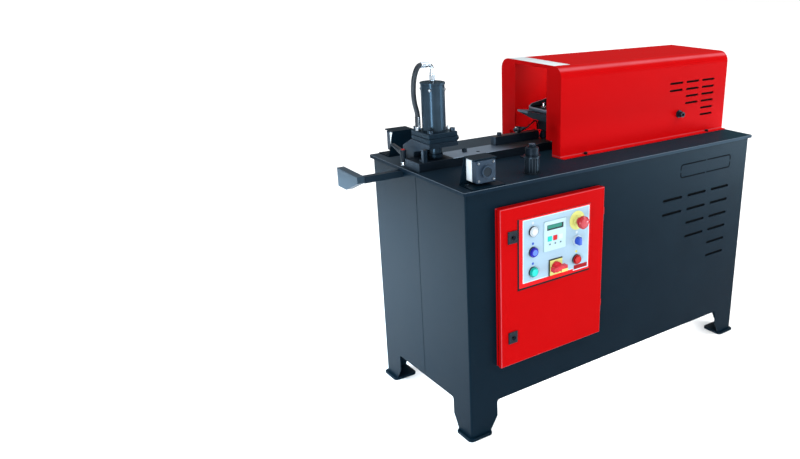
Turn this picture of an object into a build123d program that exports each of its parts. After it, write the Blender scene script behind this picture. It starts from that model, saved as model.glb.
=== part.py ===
from build123d import *
import math
import os

# Scroll bending machine: a bar is held by a hydraulic clamp on the left, and a wiper arm under the
# hood rolls its end round a fixed mandrel. Millimetres, +X along the table to the right, +Y to the
# back, +Z up. The origin is on the floor at the middle of the four anchor holes. Places are measured
# from the cabinet's left panel, its front panel and the floor, and moved to the origin by at().

os.makedirs("parts", exist_ok=True)

# Fits and gaps
fit = 0.05
sheet = 3.0
paint_gap = 0.5
edge = 1.0

# Cabinet, bent from two U-shaped sheets that meet in the middle of the end panels
cab_len = 1240.0
cab_dep = 536.0
bend_r = 6.0
seam = 1.0
panel_foot = 108.0
leg_w = 98.0
leg_step = 53.0
leg_tip_w = 73.0
leg_tip = 12.0
leg_r = 9.0
vent_len = 98.0
vent_h = 9.5
vent_x = (845.0, 970.5, 1096.0)
vent_top = 618.0
vent_pitch = 51.0

# Feet, table and cabinet floor
foot_size = 85.0
foot_r = 14.0
foot_t = 8.0
foot_out = 10.0
anchor_d = 14.0
table_top = 793.0
table_t = 10.0
table_r = 5.0
overhang = 9.0
floor_t = 3.0

# Switch enclosure set into the front panel, and its door
door_x0 = 98.0
door_x1 = 498.0
door_z0 = 228.0
door_z1 = 728.0
rim_t = 8.0
rim_lip = 22.0
weld_gap = 0.05
box_in = 10.0
box_deep = 200.0
box_wall = 2.0
door_back = -9.0
door_face = -24.5
door_wall = 2.0
door_r = 3.0
hinge_x = 503.5
hinge_y = -14.0
hinge_d = 8.0
hinge_pin_d = 4.0
hinge_len = 22.0
hinge_z = (320.0, 636.0)

# Switchgear on two mounting rails; sizes are width, depth and height
rail_h = 35.0
rail_d = 7.5
upper_rail_z = 600.0
lower_rail_z = 430.0
rail_inset = 20.0
contactor = (45.0, 82.0, 84.0)
contactor_x = (162.0, 212.0, 262.0)
controller = (130.0, 67.0, 100.0)
controller_x = 375.0
terminals = (190.0, 42.0, 50.0)
terminals_x = 235.0
transformer = (90.0, 87.0, 90.0)
transformer_x = 405.0
transformer_z = 315.0

# Control panel on the door: two columns of controls in three rows
panel_x0 = 158.0
panel_x1 = 441.0
panel_z0 = 466.0
panel_z1 = 688.0
panel_t = 1.0
col_a = 214.5
col_b = 385.0
row_1 = 642.5
row_2 = 578.5
row_3 = 515.5
bezel_d = 32.0
bezel_t = 6.0
bezel_in = 26.0
bezel_floor = 1.0
tube_d = 22.0
tube_in = 17.7
stem_d = 17.6
cap_d = 25.4
cap_t = 6.5
cap_r = 1.5
lens_rise = 5.0
press = 4.0
press_gap = 0.4
control_end = -5.0
grip_w = 10.0
grip_len = 24.0
grip_rise = 13.0

# Display with a sunk window and two rows of flat keys
display_x = 297.0
display_z = 615.0
display_w = 84.0
display_h = 94.0
display_t = 3.0
window_w = 62.0
window_h = 16.0
window_up = 27.0
key_rows = ((606.5, 15.0), (589.0, 12.0))
key_pitch = 21.0

# Emergency stop, main switch and door locks
stop_ring_d = 60.0
stop_ring_t = 1.5
stop_collar_d = 30.0
stop_collar_t = 9.0
mushroom_d = 40.0
mushroom_neck_d = 21.0
mushroom_neck = 18.0
mushroom_rim = 8.0
mushroom_h = 18.0
switch_x = 301.0
switch_z = 512.0
switch_plate = 52.0
switch_plate_t = 2.5
switch_hub_d = 34.0
switch_hub_t = 9.0
switch_grip = (54.0, 18.0, 14.0)
switch_stem_d = 8.0
lock_x = 139.5
lock_z = (640.0, 320.5)
lock_w = 32.0
lock_h = 37.0
lock_t = 6.0
lock_d = 17.0
key_square = 8.0
lock_end = 5.8
tongue_w = 14.0
tongue_t = 2.5
tongue_len = 27.0

# Hydraulic power unit on the cabinet's floor
tank_x0 = 660.0
tank_x1 = 1090.0
tank_y0 = 130.0
tank_y1 = 410.0
tank_top = 360.0
tank_wall = 3.0
tank_r = 12.0
lid_t = 8.0
lid_out = 8.0
filler_in = 40.0
filler_d = 34.0
filler_cap_d = 50.0
filler_neck = 20.0
filler_cap_h = 26.0
motor_x = 855.0
motor_y = 270.0
motor_d = 184.0
motor_flange_d = 180.0
motor_flange_t = 12.0
bell_d = 120.0
bell_h = 90.0
frame_h = 170.0
frame_d = 160.0
rib_count = 24
rib_w = 4.0
rib_h = 16.0
cowl_h = 50.0
cowl_r = 14.0
terminal_box = (100.0, 55.0, 90.0)
valve_x = 965.0
valve_y = 220.0
valve_size = (110.0, 100.0, 80.0)
valve_steps = (28.0, 82.0)
spool_size = (44.0, 70.0, 45.0)
solenoid_d = 38.0
solenoid_len = 70.0

# Forming axis and the rotary actuator under the table
axis_x = 530.0
axis_y = 264.0
gear_module = 4.0
gear_teeth = 16
pressure_angle = math.radians(20.0)
backlash = 0.3
gear_z0 = 684.0
gear_z1 = 716.0
swing = math.radians(240.0)
rack_d = 60.0
rack_gap = 0.05
rack_z = 700.0
rack_tip = 3.4
rack_root = 5.0
rack_head = 24.0
rack_lead = 61.0
rack_tail = 55.0
housing_half = 55.0
housing_z0 = 655.0
housing_r = 8.0
bore_wall = 10.0
end_gap = 2.0
end_cap_t = 12.0
end_cap_d = 92.0
cover_t = 15.0
cover_rim = 15.0
journal_d = 40.0
bush_d = 48.0
neck_d = 20.0

# Mandrel, wiper arm, roller and tray
bar_size = 16.0
mandrel_r = 14.0
mandrel_h = 22.0
mandrel_foot_d = 44.0
mandrel_sink = 10.0
arm_z0 = 895.0
arm_z1 = 917.0
nose_x = 450.0
nose_y = 362.0
nose_t = 3.0
nose_len = 42.0
wedge_y0 = 288.0
wedge_y1 = 375.0
hub_d = 60.0
knuckle_d = 42.0
knuckle_z0 = 852.0
roller_d = 28.0
roller_h = 23.0
roller_pin_d = 14.0
roller_turn = math.radians(100.0)
tray_x0 = 477.0
tray_x1 = 575.0
tray_y0 = 238.0
tray_y1 = 345.0
tray_z1 = 949.0
tray_lip = 924.0
tray_knee = (497.0, 935.0)
tray_wall = 5.0
tray_r = 15.0
tray_bolt_x = (507.0, 553.0)
tray_bolt_y = 292.0
tray_bolt_d = 12.0
tray_bolt_flats = 18.0
tray_bolt_head = 8.0
tray_stud_d = 10.0
tray_stud_top = 942.0

# Bed and its guides
bed_x0 = 4.0
bed_x1 = 600.0
bed_y0 = 249.0
bed_y1 = 333.0
bed_top = 820.0
pin_hole = (232.0, 278.0)
pin_hole_d = 12.0
rear_x0 = 318.0
rear_x1 = 500.0
rear_y0 = 309.0
rear_top = 848.0
rear_lead = 4.0
finger_x0 = 20.0
finger_x1 = 33.0
finger_y0 = 250.0
finger_foot = 25.0
finger_foot_t = 6.0
finger_t = 12.0
finger_top = 858.0
bed_screws = [(197.0, 302.0)]
rear_screws = [(345.0, 321.0)]
screw_d = 10.0
screw_head = 16.0
screw_key = 8.0
screw_key_deep = 5.0

# Sensor on the rear guide, with the lead that goes down through the table
sensor_d = 12.0
sensor_x0 = 406.0
sensor_x1 = 452.0
sensor_y = 323.0
sensor_z = 858.5
sensor_nut = 18.0
sensor_nut_t = 5.0
sensor_nut_x = (414.5, 428.0)
holder_w = 16.0
holder_h = 20.0
lead_d = 5.0
grommet_d = 14.0
grommet_h = 7.0
lead_route = [
    (452.0, 323.0, 858.5), (461.0, 323.0, 859.5), (478.0, 326.5, 869.0), (494.0, 331.0, 876.0),
    (508.0, 336.5, 876.5), (520.0, 343.0, 868.0), (527.0, 351.0, 851.0), (530.0, 357.0, 832.0),
    (531.0, 360.0, 814.0), (531.0, 360.0, 800.0),
]

# Hydraulic clamp
clamp_x = 84.0
clamp_y = 290.0
clamp_w = 99.0
clamp_d = 104.0
column_back = 398.0
column_top = 846.0
head_back = 342.0
throat_front = 861.0
throat_back = 836.0
plate_z0 = 875.0
plate_t = 14.5
plate_gap = 0.05
plate_edge = 1.5
head_screw_x = 38.0
head_screw_y = 41.0
clamp_screw_in = 12.0
ram_d = 39.0
ram_z0 = 836.0
ram_rise = 22.0
piston_t = 32.0
piston_gap = 2.0
clamp_od = 71.0
clamp_bore = 50.0
clamp_top = 1047.0
end_plate_d = 75.0
end_plate_t = 5.5
end_wall = 12.0
groove = 1.5
port_bore = 8.0
foot_d = 46.0

# Pressure hose and its fittings
hose_d = 15.0
ferrule_d = 17.0
elbow_d = 12.0
elbow_z = 1098.0
elbow_r = 13.0
elbow_neck = 6.0
elbow_hex = 17.0
elbow_hex_h = 13.0
elbow_nut_d = 15.0
elbow_nut_h = 9.0
ferrule_x0 = 47.0
ferrule_x1 = 70.0
union_x = 42.0
union_y = 312.0
union_hex = 15.0
union_hex_h = 9.0
union_top = 946.0
hose_route = [
    (47.0, 290.0, 1098.0), (38.0, 290.0, 1098.0), (30.3, 291.0, 1093.4), (26.0, 293.8, 1085.8),
    (25.2, 297.2, 1070.5), (26.2, 302.6, 1046.0), (29.2, 307.2, 1019.0), (33.6, 310.2, 993.0),
    (39.5, 311.6, 972.0), (42.0, 312.0, 958.0), (42.0, 312.0, 946.0),
]

# Length stop under the table and its locking lever
stop_y = 354.0
stop_z = 771.0
stop_size = 20.0
stop_end = -151.0
stop_inner = 560.0
paddle_t = 24.0
paddle_outline = [(342.0, 784.0), (479.0, 786.0), (479.0, 727.0), (425.0, 727.0), (342.0, 764.0)]
lever_x = 10.0
stud_d = 12.0
hub_z0 = 805.0
hub_top = 842.0
hub_foot_r = 7.5
hub_head_r = 10.5
lever_rise = math.radians(14.0)
lever_len = 62.0
lever_root = (14.0, 18.0)
lever_tip = (12.0, 9.0)
lever_button_d = 12.0
lever_well = 8.0

# Two-hand control boxes on bent brackets, at the front and at the back of the table
hand_x0 = 47.5
hand_w = 65.0
hand_z0 = 803.5
hand_face = 14.0
hand_lid = 22.0
hand_deep = 50.0
hand_wall = 3.0
hand_r = 5.0
lid_face = 4.0
shroud_t = 8.0
shroud_d = 34.0
shroud_in = 27.0
hand_button_d = 26.0
hand_stem_d = 12.0
hand_stem = 14.0
bracket_t = 3.0
bracket_foot = (24.0, 134.0)
bracket_roof = (42.0, 116.0)
bracket_front = -2.0
roof_out = 1.0
mirror_y = 270.0

# Hood
hood_x0 = 446.0
hood_x1 = 1247.0
hood_y0 = 132.0
hood_y1 = 445.0
hood_top = 1079.0
hood_r = 36.0
hood_flange = 16.0
mouth_y0 = 203.0
mouth_y1 = 370.0
mouth_top = 1068.0
notch_y0 = 172.0
notch_y1 = 401.0
notch_top = 843.0
hood_vent_len = 68.0
hood_vent_h = 8.0
hood_vent_x = (976.0, 1061.5, 1146.0)
hood_vent_top = 986.0
hood_vent_pitch = 25.0

# Screwed port in the hood's front and the mains gland in the rear panel
port_x = 996.0
port_z = 876.5
port_nut_d = 27.0
port_nut_t = 6.0
port_d = 20.0
port_out = 22.0
port_tail_d = 16.0
port_tail = 7.0
port_hole = 11.0
gland_x = 300.0
gland_z = 190.0
gland_flats = 30.0
gland_hex_t = 7.0
gland_dome_d = 28.0
gland_dome = 17.0
gland_hole = 14.0

# Fluted post at the front of the table
post_x = 268.0
post_y = 49.0
post_d = 45.0
flute_h = 52.0
flute_r = 2.5
flute_count = 16
flute_end = 4.0
collar_d = 49.0
collar_t = 4.0
tab_len = 38.0
tab_w = 16.0
post_neck_d = 40.0
post_neck = 24.0
washer_d = 26.0
washer_t = 2.0
post_nut = 19.0
post_nut_h = 7.0

# Worked-out values
left = -cab_len / 2
front = -cab_dep / 2
under = table_top - table_t
axis = (axis_x + left, axis_y + front)
pitch_r = gear_module * gear_teeth / 2
rack_travel = pitch_r * swing
rack_pitch = math.pi * gear_module
pitch_y = axis_y + pitch_r
rack_y = pitch_y + rack_d / 3
roller_orbit = mandrel_r + bar_size + roller_d / 2 + paint_gap
roller_x = axis_x + roller_orbit * math.cos(roller_turn)
roller_y = axis_y + roller_orbit * math.sin(roller_turn)
roller_z0 = bed_top + edge
roller_z1 = roller_z0 + roller_h
panel_face = door_face - panel_t
ring_back = panel_face - stop_ring_t
cap_back = panel_face - bezel_floor - press - press_gap
lower_plate = plate_z0 + plate_t
flange_top = plate_z0 + 2 * plate_t - plate_gap
cabinet_floor = panel_foot + floor_t
stop_hole = stop_size / 2 + paint_gap


def at(x, y):
    """Plan position in the part's own frame."""
    return (x + left, y + front)


def block(x0, x1, y0, y1, z0, z1, mode=Mode.ADD):
    """Straight block between two corners."""
    with Locations(((x0 + x1) / 2 + left, (y0 + y1) / 2 + front, (z0 + z1) / 2)):
        Box(x1 - x0, y1 - y0, z1 - z0, mode=mode)


def rod_x(y, z, x0, x1, dia, mode=Mode.ADD):
    """Round bar along X."""
    with Locations(Location(((x0 + x1) / 2 + left, y + front, z), (0, 90, 0))):
        Cylinder(dia / 2, x1 - x0, mode=mode)


def rod_y(x, z, y0, y1, dia, mode=Mode.ADD):
    """Round bar along Y."""
    with Locations(Location((x + left, (y0 + y1) / 2 + front, z), (90, 0, 0))):
        Cylinder(dia / 2, y1 - y0, mode=mode)


def rod_z(x, y, z0, z1, dia, mode=Mode.ADD):
    """Round bar along Z."""
    with Locations((x + left, y + front, (z0 + z1) / 2)):
        Cylinder(dia / 2, z1 - z0, mode=mode)


def hexagon(x, y, z, flats):
    """Hexagon across flats, lying at height z."""
    with BuildSketch(Plane.XY.offset(z)) as shape:
        with Locations(at(x, y)):
            RegularPolygon(flats / 2, 6, major_radius=False)
    return shape.sketch


def wrap_profile(side):
    """Section of one bent half of the cabinet, open at the middle seam; side is -1 at the front."""
    with BuildSketch(Plane.XY.offset(foot_t)) as profile:
        RectangleRounded(cab_len, cab_dep, bend_r)
        RectangleRounded(cab_len - 2 * sheet, cab_dep - 2 * sheet, bend_r - sheet, mode=Mode.SUBTRACT)
        with Locations((0, -side * (cab_dep - seam) / 2)):
            Rectangle(cab_len, cab_dep, mode=Mode.SUBTRACT)
    return profile.sketch


def leg_gap(plane, span):
    """Space between two legs, which taper to the foot plates."""
    half = span / 2
    side = [(half - leg_w, panel_foot), (half - leg_w, leg_step), (half - leg_tip_w, leg_tip)]
    outline = side + [(half - leg_tip_w, 0)]
    with BuildSketch(plane) as gap:
        with BuildLine():
            Polyline(*outline, *[(-x, z) for x, z in reversed(outline)], close=True)
        make_face()
        fillet(gap.vertices().group_by(Axis.Y)[-1], leg_r)
    return gap.sketch


def slot_rows(plane, columns, top, pitch, length, height):
    """Ventilation slots: two rows in the first column, two more in each following one."""
    with BuildSketch(plane) as slots:
        for column, x in enumerate(columns):
            for row in range(2 * column + 2):
                with Locations((x + left, top - row * pitch)):
                    SlotOverall(length, height)
    return slots.sketch


# Cabinet sheets: legs, seam, ventilation slots and the openings for enclosure, stop bar and gland
body_x0 = door_x0 + box_in
body_x1 = door_x1 - box_in
body_z0 = door_z0 + box_in
body_z1 = door_z1 - box_in
with BuildPart() as front_shell:
    extrude(wrap_profile(-1), amount=under - foot_t)
    extrude(leg_gap(Plane.XZ, cab_len), amount=cab_dep, both=True, mode=Mode.SUBTRACT)
    extrude(leg_gap(Plane.YZ, cab_dep), amount=cab_len, both=True, mode=Mode.SUBTRACT)
    face_vents = slot_rows(Plane.XZ.offset(-front), vent_x, vent_top, vent_pitch, vent_len, vent_h)
    extrude(face_vents, amount=2 * sheet, both=True, mode=Mode.SUBTRACT)
    block(body_x0, body_x1, -sheet, 2 * sheet, body_z0, body_z1, Mode.SUBTRACT)

with BuildPart() as rear_shell:
    extrude(wrap_profile(1), amount=under - foot_t)
    extrude(leg_gap(Plane.XZ, cab_len), amount=cab_dep, both=True, mode=Mode.SUBTRACT)
    extrude(leg_gap(Plane.YZ, cab_dep), amount=cab_len, both=True, mode=Mode.SUBTRACT)
    back_vents = slot_rows(Plane.XZ.offset(front), vent_x, vent_top, vent_pitch, vent_len, vent_h)
    extrude(back_vents, amount=2 * sheet, both=True, mode=Mode.SUBTRACT)
    block(
        -sheet, 2 * sheet, stop_y - stop_hole, stop_y + stop_hole,
        stop_z - stop_hole, stop_z + stop_hole, Mode.SUBTRACT,
    )
    rod_y(gland_x, gland_z, cab_dep - 2 * sheet, cab_dep + sheet, port_tail_d, Mode.SUBTRACT)

# Thick table plate that carries the bed, the clamp and the hood
with BuildPart() as table_plate:
    with BuildSketch(Plane.XY.offset(under)):
        RectangleRounded(cab_len + 2 * overhang, cab_dep + 2 * overhang, table_r)
        with Locations(axis):
            Circle(bush_d / 2, mode=Mode.SUBTRACT)
        with Locations(at(lever_x, stop_y)):
            Circle(stud_d / 2 + fit, mode=Mode.SUBTRACT)
    extrude(amount=table_t)
    chamfer(table_plate.faces().sort_by(Axis.Z)[-1].outer_wire().edges(), edge)

# Four anchor plates under the legs
foot_pitch_x = cab_len + 2 * foot_out - foot_size
foot_pitch_y = cab_dep + 2 * foot_out - foot_size
with BuildPart() as foot_plates:
    with BuildSketch():
        with GridLocations(foot_pitch_x, foot_pitch_y, 2, 2):
            RectangleRounded(foot_size, foot_size, foot_r)
            Circle(anchor_d / 2, mode=Mode.SUBTRACT)
    extrude(amount=foot_t)
    foot_tops = foot_plates.faces().group_by(Axis.Z)[-1]
    chamfer([rim for face in foot_tops for rim in face.outer_wire().edges()], 2 * edge)

# Floor of the cabinet, welded between the panels
with BuildPart() as floor_sheet:
    with BuildSketch(Plane.XY.offset(panel_foot)):
        RectangleRounded(cab_len - 2 * sheet, cab_dep - 2 * sheet, bend_r)
    extrude(amount=floor_t)

# Enclosure: flat rim in front of the panel, box welded on behind it
with BuildPart() as enclosure_box:
    block(door_x0, door_x1, -rim_t, 0, door_z0, door_z1)
    fillet(enclosure_box.edges().filter_by(Axis.Y), door_r)
    block(body_x0, body_x1, weld_gap, box_deep, body_z0, body_z1)
    block(
        body_x0 + box_wall, body_x1 - box_wall, weld_gap, box_deep - box_wall,
        body_z0 + box_wall, body_z1 - box_wall, Mode.SUBTRACT,
    )
    block(
        door_x0 + rim_lip, door_x1 - rim_lip, -rim_t, 0,
        door_z0 + rim_lip, door_z1 - rim_lip, Mode.SUBTRACT,
    )

box_back = box_deep - box_wall


def device(x, z, size, back):
    """Switchgear housing with its back on a rail or on the wall."""
    width, depth, height = size
    block(x - width / 2, x + width / 2, back - depth, back, z - height / 2, z + height / 2)


# Switchgear: contactors, a controller, a terminal strip and a transformer
with BuildPart() as switchgear:
    for z in (upper_rail_z, lower_rail_z):
        block(
            body_x0 + rail_inset, body_x1 - rail_inset, box_back - rail_d, box_back,
            z - rail_h / 2, z + rail_h / 2,
        )
    for x in contactor_x:
        device(x, upper_rail_z, contactor, box_back - rail_d)
    device(controller_x, upper_rail_z, controller, box_back - rail_d)
    device(terminals_x, lower_rail_z, terminals, box_back - rail_d)
    device(transformer_x, transformer_z, transformer, box_back)

# Door: a shallow tray with knuckles for the hinge pins and holes for the controls
control_places = [(col_a, row_1), (col_a, row_2), (col_a, row_3), (col_b, row_2), (col_b, row_3)]
switch_hole = switch_stem_d + 2 * edge
with BuildPart() as door:
    block(door_x0, door_x1, door_face, door_back, door_z0, door_z1)
    fillet(door.faces().sort_by(Axis.Y)[0].edges(), door_r)
    block(
        door_x0 + door_wall, door_x1 - door_wall, door_face + door_wall, door_back,
        door_z0 + door_wall, door_z1 - door_wall, Mode.SUBTRACT,
    )
    for z in hinge_z:
        leaf_z = z + paint_gap
        block(door_x1 - door_wall, hinge_x, hinge_y - hinge_d / 2, hinge_y - edge, leaf_z, z + hinge_len)
        rod_z(hinge_x, hinge_y, leaf_z, z + hinge_len, hinge_d)
        rod_z(hinge_x, hinge_y, z, z + hinge_len, hinge_pin_d + 2 * fit, Mode.SUBTRACT)
    for x, z in control_places + [(col_b, row_1)] + [(lock_x, z) for z in lock_z]:
        rod_y(x, z, door_face - edge, door_face + 2 * door_wall, tube_d, Mode.SUBTRACT)
    rod_y(switch_x, switch_z, door_face - edge, door_face + 2 * door_wall, switch_hole, Mode.SUBTRACT)

# Fixed hinge halves with their pins
with BuildPart() as door_hinges:
    for z in hinge_z:
        block(door_x1, hinge_x + hinge_d / 2, -rim_t, -edge, z - hinge_len, z)
        block(hinge_x - hinge_d / 2, hinge_x + hinge_d / 2, hinge_y, -rim_t, z - hinge_len, z)
        rod_z(hinge_x, hinge_y, z - hinge_len, z, hinge_d)
        rod_z(hinge_x, hinge_y, z, z + hinge_len - 2 * edge, hinge_pin_d)

# Control panel plate
with BuildPart() as control_panel:
    block(panel_x0, panel_x1, panel_face, door_face, panel_z0, panel_z1)
    for x, z in control_places + [(col_b, row_1)]:
        rod_y(x, z, panel_face, door_face, tube_d, Mode.SUBTRACT)
    rod_y(switch_x, switch_z, panel_face, door_face, switch_hole, Mode.SUBTRACT)

# Display with a sunk window and two rows of flat keys
display_front = panel_face - display_t
window_z = display_z + window_up
with BuildPart() as display_module:
    block(
        display_x - display_w / 2, display_x + display_w / 2, display_front, panel_face,
        display_z - display_h / 2, display_z + display_h / 2,
    )
    fillet(display_module.edges().filter_by(Axis.Y), door_r)
    block(
        display_x - window_w / 2, display_x + window_w / 2, display_front, display_front + edge,
        window_z - window_h / 2, window_z + window_h / 2, Mode.SUBTRACT,
    )
    for key_z, key_size in key_rows:
        half = key_size / 2
        for step in (-1, 0, 1):
            key_x = display_x + key_pitch * step
            block(
                key_x - half, key_x + half, display_front - edge, display_front,
                key_z - half, key_z + half,
            )

# Bezels: a ring on the panel and a threaded tube through the door
with BuildPart() as button_bezels:
    for x, z in control_places:
        rod_y(x, z, panel_face - bezel_t, panel_face, bezel_d)
        rod_y(x, z, panel_face, control_end, tube_d)
        rod_y(x, z, panel_face - bezel_t, panel_face - bezel_floor, bezel_in, Mode.SUBTRACT)
        rod_y(x, z, panel_face - bezel_t, control_end, tube_in, Mode.SUBTRACT)
    collar_face = ring_back - stop_collar_t
    rod_y(col_b, row_1, collar_face, ring_back, stop_collar_d)
    rod_y(col_b, row_1, ring_back, control_end, tube_d)
    rod_y(col_b, row_1, collar_face, ring_back - bezel_floor, tube_d, Mode.SUBTRACT)
    rod_y(col_b, row_1, collar_face, control_end, tube_in, Mode.SUBTRACT)

# Yellow plates behind the emergency stop and the main switch
plate_face = panel_face - switch_plate_t
with BuildPart() as legend_plates:
    rod_y(col_b, row_1, ring_back, panel_face, stop_ring_d)
    rod_y(col_b, row_1, ring_back, panel_face, tube_d, Mode.SUBTRACT)
    half_plate = switch_plate / 2
    block(
        switch_x - half_plate, switch_x + half_plate, plate_face, panel_face,
        switch_z - half_plate, switch_z + half_plate,
    )
    rod_y(switch_x, switch_z, plate_face, panel_face, switch_stem_d + 2 * fit, Mode.SUBTRACT)


def dome_arc(radius, rim_y, crown_y):
    """Arc of a spherical dome, from its rim to its crown on the turning axis."""
    rise = rim_y - crown_y
    ball = (radius**2 + rise**2) / (2 * rise)
    half = math.asin(radius / ball) / 2
    middle = (ball * math.sin(half), crown_y + ball * (1 - math.cos(half)))
    ThreePointArc((radius, rim_y), middle, (0, crown_y))


def push_cap(x, z):
    """Push-button cap with its stem."""
    rod_y(x, z, cap_back - cap_t, cap_back, cap_d)
    rod_y(x, z, cap_back, control_end - edge, stem_d)


# Lamp lens, push buttons and selector
stem_r = stem_d / 2
stem_end = control_end - edge
with BuildPart() as signal_lamp:
    lens_y = cap_back - 2 * edge
    lens_back = panel_face - bezel_floor
    with BuildSketch(Plane((col_a + left, front, row_1))):
        with BuildLine():
            Polyline((0, stem_end), (stem_r, stem_end), (stem_r, lens_back), (cap_d / 2, lens_back))
            Line((cap_d / 2, lens_back), (cap_d / 2, lens_y))
            dome_arc(cap_d / 2, lens_y, lens_y - lens_rise)
            Line((0, lens_y - lens_rise), (0, stem_end))
        make_face()
    revolve(axis=Axis((col_a + left, front, row_1), (0, 1, 0)))

with BuildPart() as blue_button:
    push_cap(col_a, row_2)
    fillet(blue_button.faces().sort_by(Axis.Y)[0].edges(), cap_r)

with BuildPart() as green_button:
    push_cap(col_a, row_3)
    fillet(green_button.faces().sort_by(Axis.Y)[0].edges(), cap_r)

with BuildPart() as red_button:
    push_cap(col_b, row_3)
    fillet(red_button.faces().sort_by(Axis.Y)[0].edges(), cap_r)

with BuildPart() as selector_knob:
    disc_face = cap_back - door_r
    rod_y(col_b, row_2, disc_face, cap_back, cap_d)
    block(
        col_b - grip_w / 2, col_b + grip_w / 2, disc_face - grip_rise, disc_face,
        row_2 - grip_len / 2, row_2 + grip_len / 2,
    )
    fillet(selector_knob.faces().sort_by(Axis.Y)[0].edges(), 2 * edge)
    rod_y(col_b, row_2, cap_back, stem_end, stem_d)

# Emergency-stop mushroom, turned from one profile
neck_back = ring_back - bezel_floor - press - press_gap
neck_r = mushroom_neck_d / 2
head_r = mushroom_d / 2
with BuildPart() as estop_button:
    with BuildSketch(Plane((col_b + left, front, row_1))):
        with BuildLine():
            head_y = neck_back - mushroom_neck
            crown = head_y - mushroom_h
            Polyline((0, stem_end), (stem_r, stem_end), (stem_r, neck_back), (neck_r, neck_back))
            Polyline((neck_r, neck_back), (neck_r, head_y), (head_r, head_y), (head_r, head_y - mushroom_rim))
            dome_arc(head_r, head_y - mushroom_rim, crown)
            Line((0, crown), (0, stem_end))
        make_face()
    revolve(axis=Axis((col_b + left, front, row_1), (0, 1, 0)))

# Main switch handle
grip_l, grip_d, grip_h = switch_grip
with BuildPart() as switch_handle:
    handle_back = plate_face - press_gap
    hub_face = handle_back - switch_hub_t
    rod_y(switch_x, switch_z, hub_face, handle_back, switch_hub_d)
    block(
        switch_x - grip_l / 2, switch_x + grip_l / 2, hub_face - grip_d, hub_face,
        switch_z - grip_h / 2, switch_z + grip_h / 2,
    )
    fillet(switch_handle.faces().sort_by(Axis.Y)[0].edges(), door_r)
    rod_y(switch_x, switch_z, handle_back, control_end, switch_stem_d)

# Door locks: a square cover with a sleeve, and a turning core with a tongue behind the rim
with BuildPart() as lock_bodies:
    for z in lock_z:
        block(
            lock_x - lock_w / 2, lock_x + lock_w / 2, door_face - lock_t, door_face,
            z - lock_h / 2, z + lock_h / 2,
        )
        rod_y(lock_x, z, door_face, control_end, tube_d)
        rod_y(lock_x, z, door_face - lock_t, control_end, lock_d + 2 * fit, Mode.SUBTRACT)
    lock_fronts = lock_bodies.faces().filter_by(Axis.Y).sort_by(Axis.Y)[0:2]
    chamfer(lock_fronts.edges().filter_by(GeomType.LINE), 2 * edge)


def lock_core(z):
    """Turning core with a sunk key square, and the tongue screwed behind it, down when open."""
    core_face = door_face - lock_t / 2
    tongue_face = lock_end - tongue_t
    half_key = key_square / 2
    half_tongue = tongue_w / 2
    rod_y(lock_x, z, core_face, tongue_face - weld_gap, lock_d)
    block(
        lock_x - half_key, lock_x + half_key, core_face, core_face + key_square,
        z - half_key, z + half_key, Mode.SUBTRACT,
    )
    block(
        lock_x - half_tongue, lock_x + half_tongue, tongue_face, lock_end,
        z - tongue_len, z + half_tongue,
    )


with BuildPart() as upper_lock:
    lock_core(lock_z[0])

with BuildPart() as lower_lock:
    lock_core(lock_z[1])

# Oil tank with its lid, filler and the upright pump motor
with BuildPart() as oil_tank:
    block(tank_x0, tank_x1, tank_y0, tank_y1, cabinet_floor, tank_top)
    fillet(oil_tank.edges().filter_by(Axis.Z), tank_r)
    block(
        tank_x0 + tank_wall, tank_x1 - tank_wall, tank_y0 + tank_wall, tank_y1 - tank_wall,
        cabinet_floor + tank_wall, tank_top, Mode.SUBTRACT,
    )

lid_top = tank_top + lid_t
cap_z0 = lid_top + filler_neck
with BuildPart() as tank_lid:
    block(
        tank_x0 - lid_out, tank_x1 + lid_out, tank_y0 - lid_out, tank_y1 + lid_out, tank_top, lid_top,
    )
    fillet(tank_lid.edges().filter_by(Axis.Z), tank_r)
    rod_z(tank_x0 + filler_in, tank_y0 + filler_in, lid_top, cap_z0, filler_d)
    rod_z(tank_x0 + filler_in, tank_y0 + filler_in, cap_z0, cap_z0 + filler_cap_h, filler_cap_d)

# Motor: foot flange, bell housing, ribbed frame, fan cowl and terminal box
frame_z0 = lid_top + bell_h
frame_z1 = frame_z0 + frame_h
with BuildPart() as pump_motor:
    rod_z(motor_x, motor_y, lid_top, lid_top + motor_flange_t, motor_flange_d)
    rod_z(motor_x, motor_y, lid_top + motor_flange_t, frame_z0, bell_d)
    rod_z(motor_x, motor_y, frame_z0 - motor_flange_t, frame_z0, motor_d)
    rod_z(motor_x, motor_y, frame_z0, frame_z1, frame_d)
    with Locations((motor_x + left, motor_y + front, (frame_z0 + frame_z1) / 2)):
        with PolarLocations((motor_d - rib_h) / 2 - edge, rib_count):
            Box(rib_h, rib_w, frame_h)
    rod_z(motor_x, motor_y, frame_z1, frame_z1 + cowl_h, motor_d)
    fillet(pump_motor.faces().sort_by(Axis.Z)[-1].edges(), cowl_r)
    box_w, box_d, box_h = terminal_box
    box_y1 = motor_y - frame_d / 2
    box_z0 = frame_z0 + (frame_h - box_h) / 2
    block(motor_x - box_w / 2, motor_x + box_w / 2, box_y1 - box_d, box_y1, box_z0, box_z0 + box_h)

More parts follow.
